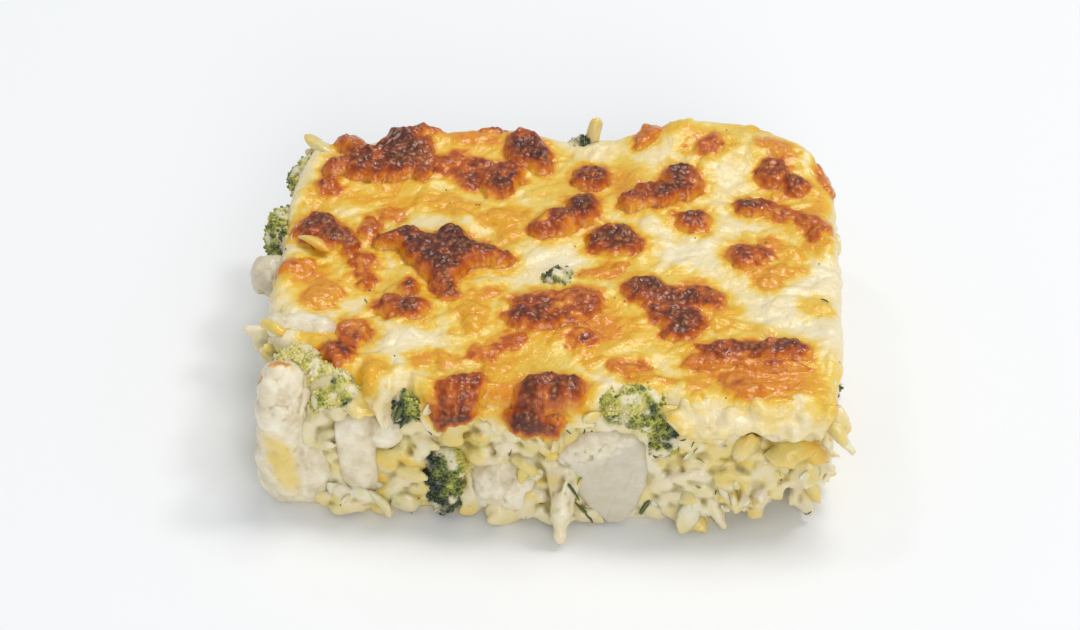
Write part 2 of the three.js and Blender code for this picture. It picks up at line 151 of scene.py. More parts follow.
def drawn_back(x):
    return np.max([m * (1 - smoothstep(0.5, 1.1, abs(x - c) / h)) for c, h, m in FRONT_GAPS], axis=0)


def hang(x, y):
    """How far the cheese hangs below its rim."""
    reach = 3.4 + 2.4 * noise(x / 7.5, y / 7.5, 71.5)
    run = sum(m * (1 - smoothstep(0.2, 1, abs(x - c) / h)) for c, h, m in FRONT_RUNS)
    front = np.maximum(1.2, (reach + run) * (1 - 0.1 * drawn_back(x)) * (1 - 0.5 * smoothstep(14, 30, x)))
    return np.where(y > -HALF_DEPTH / 2, reach, front)


def side_offset(lean, x, y, z):
    """How far a side of the body stands out at a height."""
    foot = np.clip(1 - z / FOOT_HEIGHT, 0, 1)
    undercut = FOOT_ROUNDING * (1 - np.sqrt(1 - foot * foot))
    return lean * (1 - z / CORE_HEIGHT) - undercut + 1.2 * noise(x / 7, y / 7, z / 7 + 81.5)


# Browned blisters: rise, how toasted (0 cream to 1 nearly black), how dry and pinkish their skin is,
# and their lobes as centre X and Y, half length, half width and turn in degrees. The pinkish skin is
# partly its own dry colour and partly painted sheen, light on the crests and dark in the valleys. Y is
# where the eye meets a level SEEN_HEIGHT above the base, and true_y brings it down to the blister.
SEEN_HEIGHT = 34.0
BLISTERS = [
    (3.2, 0.98, 0.25, [(-44, 31.5, 6.5, 4.8, 15), (-37.8, 34, 5.6, 6.8, 0), (-50.5, 29.6, 3.6, 2.2, 10)]),
    (2.6, 0.72, 0.95, [(-32.4, 32, 2.8, 6.2, 5)]),
    (2.2, 0.72, 0.85, [(-36, 43, 5.8, 3, -5)]),
    (1.9, 0.78, 0.6, [(-18.5, 46, 5.2, 2.8, 0)]),
    (2.4, 0.64, 0.9, [(-49.4, 38.4, 2.5, 3.4, 0)]),
    (0.5, 0.82, 0.0, [(-24, 30.6, 6.4, 3.6, -5), (-19.6, 26.4, 6.4, 3.2, -8)]),
    (2.5, 1.0, 0.2, [(-14, 27, 4.4, 5.8, -15)]),
    (2.8, 0.93, 0.1, [(-9.4, 37.2, 3.9, 5, 0), (-6, 34.4, 2.8, 5, 12)]),
    (1.0, 0.72, 0.0, [(-53, 21.5, 2.4, 2.8, 20)]),
    (2.4, 0.95, 0.3, [(-53.4, 8.6, 4.4, 4.2, 0), (-50.2, 5, 3, 4, -25)]),
    (1.7, 0.74, 0.8, [(-47.4, 4.4, 2.4, 4.4, 15)]),
    (1.4, 0.66, 0.8, [(-42.2, 8.6, 2, 3.6, 0)]),
    (3.2, 1.0, 0.1, [(-37.5, 5.4, 3.6, 1.9, 15), (-33, 5, 4, 3.4, 0), (-24, 6, 3.8, 4, 0),
                     (-28.4, 1.6, 6, 5, 0), (-17.4, 1.8, 5.6, 3.2, -18), (-12.4, 0.2, 2.6, 2, -10),
                     (-26.4, -3.4, 4.6, 3, -10), (-22.2, 1.0, 4.6, 4.8, 0), (-23.6, -4.4, 4.2, 4.2, 0)]),
    (1.9, 0.84, 0.7, [(-24.4, -8, 2.6, 4.6, 5), (-22.8, -12.4, 1.5, 3, 0), (-31.4, -11, 1.8, 2, 0)]),
    (1.0, 0.74, 0.0, [(-43, -2.2, 2.4, 1.9, 0), (-41, -6.6, 1.6, 2.4, 10), (-40.6, -9.6, 1.6, 1.4, 0)]),
    (0.9, 0.62, 0.3, [(-56.6, -5.4, 3.4, 2.0, -8)]),
    (1.0, 0.54, 0.2, [(-49.8, -14, 4, 3, 35)]),
    (1.9, 0.93, 0.3, [(-34.6, -16.6, 2.6, 2.8, 0), (-30.2, -18, 3.8, 2.6, -15)]),
    (0.7, 0.5, 0.0, [(-17.5, -17.5, 2.1, 2, 0), (-17, -23, 1.6, 2.2, 0)]),
    (0.6, 0.64, 0.0, [(-38, 13.6, 2.2, 1.2, -20)]),
    (0.7, 0.52, 0.0, [(-13, 13, 3.8, 2, 0)]),
    (0.3, 0.5, 0.0, [(-28, 18.4, 4.4, 1.6, 5), (-22.4, 16.4, 2, 1, -10)]),
    (2.3, 0.88, 0.2, [(5.6, 28.2, 3.9, 3.6, 15)]),
    (2.7, 0.96, 0.2, [(-0.6, 12.6, 6.0, 3.8, 28), (4.6, 16.6, 3.4, 5.0, -15)]),
    (1.8, 0.88, 0.4, [(11.2, 7.4, 4.8, 4.4, 0), (15, 5.6, 2.8, 3, 0)]),
    (2.8, 0.94, 0.2, [(26.2, 27.6, 3.8, 5.2, -12), (21, 22.4, 5.6, 2.9, 15), (15.6, 19.6, 3.2, 1.8, 10)]),
    (1.4, 0.84, 0.1, [(29, 14.4, 3.0, 4.1, -30)]),
    (1.1, 0.74, 0.0, [(31.5, 39.4, 3.6, 2, 40)]),
    (1.7, 0.86, 0.7, [(46.4, 31.4, 3.2, 4.2, -15), (50.4, 28, 3.8, 2.2, -20)]),
    (0.7, 0.6, 0.2, [(47.4, 39, 3.8, 1.3, -38)]),
    (1.8, 0.9, 0.4, [(42.2, 20.6, 4, 2.6, -8)]),
    (1.1, 0.68, 0.4, [(47.6, 17.8, 4, 2.1, -22), (53, 15.8, 4.2, 1.9, -28), (56.2, 11.6, 2, 2.8, -25)]),
    (1.6, 0.72, 0.0, [(41, 3.6, 4.2, 4.4, 20)]),
    (1.7, 1.0, 0.0, [(39.4, 1.8, 2.3, 2.2, 0)]),
    (0.5, 0.48, 0.0, [(49.5, 5, 1.9, 1.6, 0)]),
    (0.7, 0.56, 0.0, [(48, -2, 2.8, 1.1, 18), (45, -5, 1.2, 1.6, 0)]),
    (1.7, 0.86, 0.3, [(18.6, -9.6, 4.6, 3.6, -10), (30.6, -10.8, 4.8, 3.4, -10), (24.4, -13, 5, 4.4, 0),
                      (25.8, -17.2, 5.4, 3.8, -10), (26.4, -21.4, 3.6, 2.6, 0)]),
    (2.0, 0.72, 0.2, [(-3.4, -16.4, 6.4, 5.6, 20), (3.6, -14.4, 6, 5.2, 0)]),
    (1.8, 0.88, 0.4, [(-7.4, -19.6, 3, 2.6, 20)]),
    (0.8, 0.6, 0.0, [(9.6, -3.2, 4.4, 1.2, 22)]),
    (1.2, 0.6, 0.3, [(58.8, 33, 1.8, 5.8, 8)]),
    (1.7, 0.56, 0.2, [(18, 43.2, 1.7, 4.8, -25)]),
    (0.9, 0.74, 0.0, [(6.4, -25.4, 3.4, 2.2, 10)]),
    (2.1, 0.94, 0.5, [(46, -26.2, 7, 3.1, 0)]),
    (1.6, 0.8, 0.2, [(36.6, -26.8, 6, 2.4, 8)]),
    (1.1, 0.62, 0.1, [(33, -30.6, 5.4, 1.8, 8), (44, -31, 8, 1.8, -6)]),
    (0.8, 0.66, 0.2, [(38.6, -37.4, 4.2, 2.2, -28)]),
    (0.6, 0.66, 0.0, [(16, -33.4, 3.2, 1.5, 0)]),
    (0.5, 0.54, 0.0, [(20.5, -36.4, 2.8, 1.3, 0)]),
    (1.5, 0.64, 0.4, [(-41.5, -25.4, 3, 3.8, 0), (-48, -33.4, 3.8, 1.6, 10)]),
    (1.6, 0.9, 0.0, [(-43.4, -32, 2.4, 2.6, 0)]),
    (0.5, 0.48, 0.0, [(-37.4, -38, 1.6, 2.6, -10)]),
    (0.9, 0.74, 0.1, [(-8.8, -26.8, 3.6, 1.5, 35), (-14, -30.6, 3.2, 1.6, 15)]),
    (0.5, 0.54, 0.0, [(-11.5, -35, 2.6, 1, 15), (-22, -33.5, 1.4, 1.2, 0)]),
    (2.2, 0.8, 0.2, [(-17.4, -40.4, 5, 3.2, 28)]),
    (2.6, 0.96, 0.2, [(-20, -45.4, 5, 3.6, 20)]),
    (2.4, 0.9, 0.4, [(-1.5, -40.4, 5.4, 3.4, 10), (4, -39.5, 3, 2.6, 0)]),
    (2.8, 1.0, 0.3, [(-4, -45.4, 4.8, 3.8, 0), (1.4, -47.6, 2.4, 3.4, 0)]),
]

# Zones of golden cheese and of pale cheese: centre X and Y, reach along X and Y, how much.
GOLDEN_ZONES = [
    (-54, -6, 8, 7, 0.5), (-50, -13, 6, 4, 0.3), (-38, 19, 16, 5, 0.46), (-20, 41, 13, 6, 0.55),
    (-24, 31, 12, 6, 0.3), (-9, 16, 6, 7, 0.34), (-12, 7, 7, 6, 0.38), (-20, -3, 6, 8, 0.3),
    (-35, -8, 8, 6, 0.3), (-14, -28, 12, 7, 0.36), (0, -17, 14, 11, 0.46), (12, -24, 12, 7, 0.42),
    (25, -13, 13, 9, 0.42), (15, -3, 8, 4, 0.34), (42, -30, 18, 6, 0.5), (38, -37, 10, 5, 0.5),
    (52, -38, 8, 6, 0.42), (0, 26, 10, 8, 0.32), (22, 24, 12, 7, 0.38), (13, 30, 5, 10, 0.34),
    (29, 14, 6, 6, 0.28), (50, 18, 9, 6, 0.42), (47, 31, 9, 7, 0.32), (33, 41, 8, 5, 0.34),
    (22, 46, 10, 4, 0.36), (45, 47, 8, 3, 0.34), (41, 2, 7, 6, 0.25), (-44, -27, 6, 6, 0.3),
    (-16, -41, 14, 6, 0.4), (-2, -40, 9, 7, 0.34), (57, 28, 3, 14, 0.34), (-52, 25, 6, 8, 0.34),
    (-30, -17, 8, 5, 0.3), (-20, -19, 4, 6, 0.25),
]
PALE_ZONES = [
    (26, 5, 11, 5, 0.85), (50, -13, 10, 8, 0.9), (38, 31, 6, 5, 0.7), (33, 20, 5, 3, 0.5),
    (-28, -27, 8, 7, 0.85), (-2, 3, 8, 5, 0.75), (-12, 19, 5, 3, 0.75), (-43, 14, 5, 2.5, 0.5),
    (-50, -22, 7, 4, 0.6), (10, -38, 7, 4, 0.8), (22, -40, 12, 4, 0.85), (-36, -38, 6, 4, 0.85),
    (35, 8, 6, 4, 0.5), (54, 5, 6, 6, 0.5), (6, 35, 5, 5, 0.4), (38, -21, 10, 3, 0.6),
    (-57, 38, 6, 6, 0.5), (10, 12, 3, 4, 0.3), (-51, -28, 7, 3, 0.8), (2, -6, 9, 4, 0.5),
    (-30, -31, 9, 5, 0.7), (-20, -35, 6, 4, 0.5), (14, -33, 9, 5, 0.6), (4, -27, 5, 3, 0.5),
    (-12, -22, 6, 3, 0.5),
]


def zone_cover(x, y, zones):
    left = np.ones(x.shape)
    for centre_x, centre_y, wide, deep, amount in zones:
        left = left * (1 - amount * np.exp(-((x - centre_x) / wide) ** 2 - ((y - centre_y) / deep) ** 2))
    return 1 - left


def golden_field(x, y):
    return zone_cover(x, y, GOLDEN_ZONES) * (1 - zone_cover(x, y, PALE_ZONES))


def true_y(y_seen, rise):
    middle = TOP_HEIGHT + rise / 2
    return y_seen + (SEEN_HEIGHT - middle) / math.tan(math.radians(ELEVATION))


def inside_depth(x, y, lobe, rise):
    """Millimetres inside a lobe's outline, negative outside it."""
    centre_x, seen_y, long, wide, turn = lobe
    angle = math.radians(turn)
    dx, dy = x - centre_x, y - true_y(seen_y, rise)
    along = dx * math.cos(angle) + dy * math.sin(angle)
    across = dy * math.cos(angle) - dx * math.sin(angle)
    reach = np.hypot(along / long, across / wide) + 1e-6
    radius = np.clip(np.hypot(along, across) / reach, min(long, wide), max(long, wide))
    return (1 - reach) * np.where(reach < 1, min(long, wide), radius)


def freckles(rng, count):
    """Small golden bubbles, thicker where the cheese is golden."""
    found = []
    while len(found) < count:
        x, y = rng.uniform(-56, 56), rng.uniform(-38, 38)
        golden = golden_field(np.array([x]), np.array([y]))[0]
        if rng.random() < 0.15 + 1.6 * golden:
            size = rng.uniform(0.5, 1.5)
            found.append((0.1 + 0.12 * size, rng.uniform(0.36, 0.6), 0.0,
                          [(x, y, size * rng.uniform(1, 1.9), size, rng.uniform(-40, 60))]))
    return found


TOAST_DEPTHS = [-5.6, -3.1, -1.8, -1.0, -0.3, 0.5, 1.4, 2.8]
TOAST_STEPS = [0.0, 0.2, 0.34, 0.46, 0.57, 0.70, 0.83, 0.97]
# The toast lags towards the back, so each blister keeps an orange front margin. That margin is partly its
# own lighter browning and partly painted glow of light through the thin front edge.
TOAST_LAG = 0.12  # how far the browning lies behind its blister, as a share of the rise


def pressed_shreds(x, y, rng, count=620):
    """Relief of half melted shreds and grains that show through the cheese, in millimetres."""
    relief = np.zeros(x.shape)
    for _ in range(count):
        centre_x, centre_y = rng.uniform(-70, 70), rng.uniform(-54, 52)
        long, wide = rng.uniform(2.4, 5.2), rng.uniform(1.1, 2.1)
        angle = rng.normal(0.5, 0.7)
        height = rng.uniform(0.25, 0.75) * (1.5 if centre_y < -36 else 1)
        dx, dy = x - centre_x, y - centre_y
        near = np.nonzero((abs(dx) < long) & (abs(dy) < long))[0]
        dx, dy = dx[near], dy[near]
        along = (dx * math.cos(angle) + dy * math.sin(angle)) / long
        across = (dy * math.cos(angle) - dx * math.sin(angle)) / wide
        bump = height * np.maximum(0, 1 - along**2 - across**2) ** 0.75
        relief[near] = np.maximum(relief[near], bump) + 0.25 * np.minimum(relief[near], bump)
    return relief


def cheese_fields(x, y, blisters):
    """Rise in millimetres, toast, and dryness with its painted sheen, of the cheese over the unrolled
    sheet.
    """
    warp = [
        1.2 * turned_noise(x, y, 4.1, 131 + n) + 0.7 * turned_noise(x, y, 1.9, 137 + n, 1.1)
        + 0.35 * turned_noise(x, y, 0.9, 139 + n, 0.2)
        for n in (0, 10)
    ]
    warp_x, warp_y = x + warp[0], y + warp[1]
    frayed = 1.3 * turned_noise(x, y, 2.3, 151, 0.3) + 1.0 * turned_noise(x, y, 1.1, 157, 1.3)
    mottle = 0.18 * turned_noise(x, y, 2.1, 173, 0.9, 1.5) + 0.13 * turned_noise(x, y, 0.9, 177, 0.3, 1.4)
    mottle = mottle + 0.14 * turned_noise(x, y, 4.6, 179, 0.4, 1.2)
    folds = 1.1 * abs(turned_noise(x, y, 1.8, 161, 1.35, 1.6))
    folds = folds + 0.6 * abs(turned_noise(x, y, 1.0, 167, 0.4))
    uneven = 0.95 + 0.2 * turned_noise(x, y, 4.4, 169, 0.7)
    pale_patch = smoothstep(0.1, 0.7, turned_noise(x, y, 2.2, 171, 0.9, 1.4))
    swirl = turned_noise(x, y, 7.5, 181, 0.5, 1.6) + 0.6 * turned_noise(x, y, 2.8, 187, 0.5, 1.8)
    streaks = turned_noise(x, y, 1.2, 193, 0.4, 2.2)
    golden = golden_field(x, y)
    toast = np.clip(0.04 + 0.82 * golden + (0.12 * swirl + 0.1 * streaks) * (0.4 + golden), 0.0, 0.5)
    rise = np.zeros(x.shape)
    dry_skin_and_sheen = np.zeros(x.shape)
    for height, most, dryness_and_sheen, lobes in blisters:
        depth = np.max([inside_depth(warp_x, warp_y, lobe, height) for lobe in lobes], axis=0)
        near = depth > TOAST_DEPTHS[0] - 1
        inner = depth[near]
        lagging = warp_y[near] - TOAST_LAG * height
        browned = np.max([inside_depth(warp_x[near], lagging, lobe, height) for lobe in lobes], axis=0)
        narrow = min(min(lobe[2:4]) for lobe in lobes)
        round_over = min(3.0, 0.85 * narrow)
        share = np.clip((inner + 0.6) / (round_over + 0.6), 0, 1)
        dome = 0.9 * height * np.sqrt(1 - (1 - share) ** 2) * uneven[near]
        wrinkle = folds[near] * smoothstep(-0.3, 1.0, inner) * min(1.0, 0.3 + height / 3)
        rise[near] = np.maximum(rise[near], dome + wrinkle)
        heat = np.interp(browned + frayed[near] * min(1.0, 1.3 / height), TOAST_DEPTHS, TOAST_STEPS)
        heat = np.minimum(heat, 0.07 + 0.85 * most - 0.1 * smoothstep(1.6, 0.6, height))
        heat += (mottle[near] - 0.16 * pale_patch[near]) * smoothstep(0, 1.5, inner) * (most > 0.6)
        toast[near] = np.maximum(toast[near], heat)
        dry_skin_and_sheen[near] = np.maximum(dry_skin_and_sheen[near], dryness_and_sheen * smoothstep(0.1, 1.4, inner + frayed[near]))
    return rise, toast, dry_skin_and_sheen


# Meshes as numpy arrays of points and faces.
def numbers(items, field, width, kind=float):
    flat = np.empty(len(items) * width, np.float32 if kind is float else np.int32)
    items.foreach_get(field, flat)
    return flat.reshape(-1, width).astype(kind)


def node_shape(name):
    """A CAD node's points in plan millimetres, doubled points merged, and its triangles."""
    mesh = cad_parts[name].data
    mesh.calc_loop_triangles()
    points = numbers(mesh.vertices, "co", 3) / MM - PLAN_ORIGIN
    triangles = numbers(mesh.loop_triangles, "vertices", 3, int)
    merged, place = np.unique(np.round(points, 3), axis=0, return_inverse=True)
    return merged, place.reshape(-1)[triangles]


def joined(shapes):
    points, faces, count = [], [], 0
    for shape_points, shape_faces in shapes:
        points.append(shape_points)
        faces.append(shape_faces + count)
        count += len(shape_points)
    return np.concatenate(points), np.concatenate(faces)


def as_mesh(name, points, faces):
    mesh = bpy.data.meshes.new(name)
    mesh.from_pydata(points.tolist(), [], faces if isinstance(faces, list) else faces.tolist())
    return mesh


def voxel_skin(points, faces, voxel):
    """One closed skin of squares round shapes that may overlap."""
    mesh = as_mesh("work", points, faces)
    work = bpy.data.objects.new("work", mesh)
    bpy.context.scene.collection.objects.link(work)
    remesh = work.modifiers.new("skin", "REMESH")
    remesh.mode = "VOXEL"
    remesh.voxel_size = voxel
    skin = work.evaluated_get(bpy.context.evaluated_depsgraph_get()).to_mesh()
    result = numbers(skin.vertices, "co", 3), numbers(skin.loops, "vertex_index", 1, int).reshape(-1, 4)
    bpy.data.objects.remove(work)
    bpy.data.meshes.remove(mesh)
    return result


def corners_of(points, faces):
    """The first three corners of each face."""
    return (points[faces[:, i]] for i in range(3))


def vertex_normals(points, faces):
    a, b, c = corners_of(points, faces)
    across = np.cross(b - a, c - a)
    if faces.shape[1] == 4:
        across = np.cross(c - a, points[faces[:, 3]] - b)
    normals = np.zeros(points.shape)
    for axis in range(3):
        for corner in range(faces.shape[1]):
            normals[:, axis] += np.bincount(faces[:, corner], across[:, axis], len(points))
    return normals / np.maximum(np.linalg.norm(normals, axis=1), 1e-12)[:, None]


def smoothed(values, faces, rounds, share=0.6):
    """Values at the points, each drawn towards the mean of its neighbours."""
    pairs = [np.stack([faces[:, i], faces[:, i - 1]], 1) for i in range(faces.shape[1])]
    pairs = np.concatenate(pairs + [pair[:, ::-1] for pair in pairs])
    count = np.maximum(np.bincount(pairs[:, 0], minlength=len(values)), 1)
    values = values.astype(float)
    columns = values.reshape(len(values), -1)
    for _ in range(rounds):
        sums = [np.bincount(pairs[:, 0], column[pairs[:, 1]], len(values)) for column in columns.T]
        columns = columns * (1 - share) + np.stack(sums, 1) / count[:, None] * share
    return columns.reshape(values.shape)


def hollows(points, faces, rounds):
    """How far each point lies below its smoothed surroundings, in millimetres."""
    normals = vertex_normals(points, faces)
    return np.einsum("ij,ij->i", smoothed(points, faces, rounds) - points, normals)


def shrunk(points, faces, amount):
    return points - amount * vertex_normals(points, faces), faces


def as_triangles(faces):
    return faces if faces.shape[1] == 3 else np.concatenate([faces[:, [0, 1, 2]], faces[:, [0, 2, 3]]])


def spread_points(points, faces, count, rng, keep):
    """Random places on a surface, and the normals there, from what keep(middles, normals) allows."""
    triangles = as_triangles(faces)
    a, b, c = corners_of(points, triangles)
    across = np.cross(b - a, c - a)
    area = np.linalg.norm(across, axis=1)
    normals = across / np.maximum(area, 1e-12)[:, None]
    weight = area * keep((a + b + c) / 3, normals)
    picked = rng.choice(len(triangles), count, p=weight / weight.sum())
    r, s = np.sqrt(rng.random(count)), rng.random(count)
    shares = (1 - r, r * (1 - s), r * s)
    places = sum(share[:, None] * corner[picked] for share, corner in zip(shares, (a, b, c)))
    return places, normals[picked]


def tree_of(shapes):
    points, faces = joined(shapes)
    return BVHTree.FromPolygons(points.tolist(), faces.tolist())


def nearest_tree(points):
    tree = KDTree(len(points))
    for i, point in enumerate(points):
        tree.insert(point, i)
    tree.balance()
    return tree


def unit(vectors):
    return vectors / np.maximum(np.linalg.norm(vectors, axis=-1, keepdims=True), 1e-12)


def tube_template(rings, sides, radius):
    """A closed tube along X from -0.5 to 0.5 whose radius follows a function of the share of its length."""
    share = (1 - np.cos(np.linspace(0, math.pi, rings + 2)[1:-1])) / 2
    angles = np.linspace(0, 2 * math.pi, sides, endpoint=False)
    points = [(-0.5, 0.0, 0.0)]
    for t in share:
        points += [(t - 0.5, radius(t) * math.cos(a), radius(t) * math.sin(a)) for a in angles]
    points.append((0.5, 0.0, 0.0))
    last = len(points) - 1
    faces = [(0, 1 + (i + 1) % sides, 1 + i) for i in range(sides)]
    for ring in range(rings - 1):
        for i in range(sides):
            a, b = 1 + ring * sides + i, 1 + ring * sides + (i + 1) % sides
            faces += [(a, b, b + sides), (a, b + sides, a + sides)]
    start = 1 + (rings - 1) * sides
    faces += [(last, start + i, start + (i + 1) % sides) for i in range(sides)]
    return np.array(points), np.array(faces)


def copies(template, centres, forward, upward, sizes, bend):
    """The template set at each centre along forward, with its Z towards upward, its sizes and a bend."""
    shape, faces = template
    forward = unit(forward)
    side = unit(np.cross(upward, forward))
    up = np.cross(forward, side)
    local = shape[None] * sizes[:, None, :]
    local[:, :, 2] -= bend[:, None] * (4 * shape[None, :, 0] ** 2)
    placed = (
        centres[:, None]
        + local[:, :, 0:1] * forward[:, None]
        + local[:, :, 1:2] * side[:, None]
        + local[:, :, 2:3] * up[:, None]
    )
    offsets = np.arange(len(centres)) * len(shape)
    return placed.reshape(-1, 3), (faces[None] + offsets[:, None, None]).reshape(-1, 3)


def thinned(piece, share):
    """The piece's mesh with a share of its triangles, fewest where it is flat, as under the cheese."""
    fewer = piece.modifiers.new("fewer", "DECIMATE")
    fewer.ratio = share
    result = bpy.data.meshes.new_from_object(piece.evaluated_get(bpy.context.evaluated_depsgraph_get()))
    piece.modifiers.clear()
    return result


def make_piece(name, points, faces, material, nodes=(), fields=None, share=1.0):
    mesh = as_mesh(name, points + PLAN_ORIGIN, faces)
    mesh.transform(Matrix.Scale(MM, 4))
    mesh.shade_smooth()
    for field, values in (fields or {}).items():
        mesh.attributes.new(field, "FLOAT", "POINT").data.foreach_set("value", values.astype(np.float32))
    mesh.materials.append(material)
    piece = bpy.data.objects.new(name, mesh)
    bpy.context.scene.collection.objects.link(piece)
    if share < 1:
        piece.data = thinned(piece, share)
    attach(piece, "root")
    if nodes:
        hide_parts(*nodes)


# Materials.
class Shading:
    """A material and the few kinds of node that it is built from."""

    def __init__(self, name, roughness, specular=0.5, glow=0.0, glow_reach=1.0, coat=0.0):
        self.material = bpy.data.materials.new(name)
        self.material.use_nodes = True
        self.tree = self.material.node_tree
        self.shader = self.tree.nodes["Principled BSDF"]
        self.shader.inputs["Roughness"].default_value = roughness
        self.shader.inputs["Specular IOR Level"].default_value = specular
        self.shader.inputs["Subsurface Weight"].default_value = glow
        self.shader.inputs["Subsurface Radius"].default_value = (1.0, 0.55, 0.22)
        self.shader.inputs["Subsurface Scale"].default_value = glow_reach * MM
        self.shader.inputs["Coat Weight"].default_value = coat
        self.shader.inputs["Coat Roughness"].default_value = 0.1
        self.place = self.node("ShaderNodeTexCoord").outputs["Object"]

    def node(self, kind, **settings):
        made = self.tree.nodes.new(kind)
        for key, value in settings.items():
            setattr(made, key, value)
        return made

    def link(self, source, target):
        if isinstance(source, (int, float)):
            target.default_value = source
        elif isinstance(source, tuple):
            target.default_value = (*source, 1.0)
        else:
            self.tree.links.new(source, target)

    def noise(self, size, detail, roughness, stretch=None):
        """Noise from 0 to 1 with features of a size in millimetres."""
        made = self.node("ShaderNodeTexNoise")
        made.inputs["Scale"].default_value = 1 / (size * MM)
        made.inputs["Detail"].default_value = detail
        made.inputs["Roughness"].default_value = roughness
        place = self.place
        if stretch:
            mapping = self.node("ShaderNodeMapping")
            mapping.inputs["Scale"].default_value = stretch
            self.link(self.place, mapping.inputs["Vector"])
            place = mapping.outputs["Vector"]
        self.link(place, made.inputs["Vector"])
        return made.outputs["Fac"]

    def cells(self, size):
        """Rounded pimples from 0 to 1, about a size in millimetres apart."""
        made = self.node("ShaderNodeTexVoronoi", feature="SMOOTH_F1")
        made.inputs["Scale"].default_value = 1 / (size * MM)
        made.inputs["Smoothness"].default_value = 0.4
        self.link(self.place, made.inputs["Vector"])
        return self.math("SUBTRACT", 1.0, made.outputs["Distance"])

    def field(self, name):
        return self.node("ShaderNodeAttribute", attribute_name=name).outputs["Fac"]

    def math(self, operation, a, b):
        made = self.node("ShaderNodeMath", operation=operation)
        self.link(a, made.inputs[0])
        self.link(b, made.inputs[1])
        return made.outputs[0]

    def plus(self, value, texture, amount):
        return self.math("ADD", value, self.math("MULTIPLY", texture, amount))

    def around(self, value, texture, amount):
        """The value with a texture of 0 to 1 added to it, plus or minus half the amount."""
        return self.plus(value, self.math("SUBTRACT", texture, 0.5), amount)

    def ramp(self, value, stops):
        made = self.node("ShaderNodeValToRGB")
        elements = made.color_ramp.elements
        while len(elements) < len(stops):
            elements.new(0.5)
        for element, (position, colour) in zip(elements, stops):
            element.position = position
            element.color = (*colour, 1.0)
        self.link(value, made.inputs["Fac"])
        return made.outputs["Color"]

    def grey(self, value, stops):
        return self.ramp(value, [(position, (level,) * 3) for position, level in stops])

    def mix(self, share, a, b, blend="MIX"):
        made = self.node("ShaderNodeMix", data_type="RGBA", blend_type=blend)
        self.link(share, made.inputs["Factor"])
        self.link(a, made.inputs["A"])
        self.link(b, made.inputs["B"])
        return made.outputs["Result"]

    def tinted(self, share, colour, tint):
        """The colour, multiplied by a tint to the share."""
        return self.mix(share, colour, self.mix(1.0, colour, tint, "MULTIPLY"))

    def bump(self, height, depth, socket="Normal"):
        """Relief whose height of 0 to 1 stands for a depth in millimetres."""
        made = self.node("ShaderNodeBump")
        made.inputs["Distance"].default_value = depth * MM
        self.link(height, made.inputs["Height"])
        self.link(made.outputs["Normal"], self.shader.inputs[socket])

    def finish(self, colour, roughness=None, height=None, depth=0.1):
        self.link(colour, self.shader.inputs["Base Color"])
        if roughness is not None:
            self.link(roughness, self.shader.inputs["Roughness"])
        if height is not None:
            self.bump(height, depth)
        return self.material


def cheese_material():
    s = Shading("melted_cheese", 0.3, specular=0.4, glow=0.08, glow_reach=1.0)
    fine = s.noise(1.3, 3, 0.55)
    cloud = s.noise(5, 3, 0.5, stretch=(1.0, 1.7, 1.0))
    nodules = s.cells(1.25)
    toast = s.around(s.around(s.field("toast"), fine, 0.2), cloud, 0.1)
    colour = s.ramp(toast, [
        (0.0, (0.84, 0.74, 0.50)),
        (0.13, (0.84, 0.68, 0.34)),
        (0.26, (0.81, 0.56, 0.085)),
        (0.38, (0.78, 0.41, 0.010)),
        (0.50, (0.72, 0.25, 0.006)),
        (0.60, (0.53, 0.11, 0.005)),
        (0.72, (0.28, 0.042, 0.006)),
        (0.82, (0.14, 0.022, 0.006)),
        (0.94, (0.065, 0.012, 0.006)),
    ])
    browned = s.grey(toast, [(0.5, 0.0), (0.66, 1.0)])
    # Painted highlight: on browned cheese the crests of the nodules are lightened towards orange.
    top = s.math("MULTIPLY", s.grey(nodules, [(0.45, 0.0), (0.85, 1.0)]), browned)
    # Dry skin, partly painted: where it is dry and pinkish the valleys are painted dark red-brown and the
    # nodule crests pinkish. This is partly the skin's own colour and partly painted highlight.
    dry_skin_and_sheen = s.math("MULTIPLY", s.field("dry_skin_and_sheen"), s.grey(s.noise(1.8, 2, 0.5), [(0.4, 0.2), (0.6, 0.8)]))
    colour = s.mix(s.math("MULTIPLY", top, 0.35), colour, (0.62, 0.21, 0.04))
    colour = s.mix(dry_skin_and_sheen, colour, s.mix(top, (0.30, 0.075, 0.015), (0.56, 0.24, 0.08)))
    # Painted shade: the colour is darkened towards brown in creases and hollows (the hollow field), most
    # where the cheese is browned.
    painted_crease_shade = s.grey(s.field("hollow"), [(0.1, 0.0), (0.8, 0.8)])
    painted_crease_shade = s.math("MULTIPLY", painted_crease_shade, s.grey(toast, [(0.2, 0.3), (0.6, 1.0)]))
    colour = s.tinted(painted_crease_shade, colour, (0.50, 0.27, 0.16))
    s.link(s.grey(toast, [(0.2, 0.3), (0.5, 0.6)]), s.shader.inputs["Coat Weight"])
    s.link(s.grey(toast, [(0.45, 0.4), (0.65, 0.12)]), s.shader.inputs["Specular IOR Level"])
    roughness = s.around(s.grey(toast, [(0.1, 0.34), (0.45, 0.28), (0.9, 0.3)]), fine, 0.2)
    relief = s.math("MULTIPLY", nodules, s.grey(toast, [(0.3, 0.1), (0.6, 0.6)]))
    s.bump(s.math("ADD", s.noise(2.2, 2, 0.45), relief), 0.36, "Coat Normal")
    gritty = s.plus(relief, s.noise(0.6, 2, 0.6), 0.3)
    height = s.math("ADD", s.noise(1.5, 2, 0.5), gritty)
    return s.finish(colour, roughness, height, 0.35)


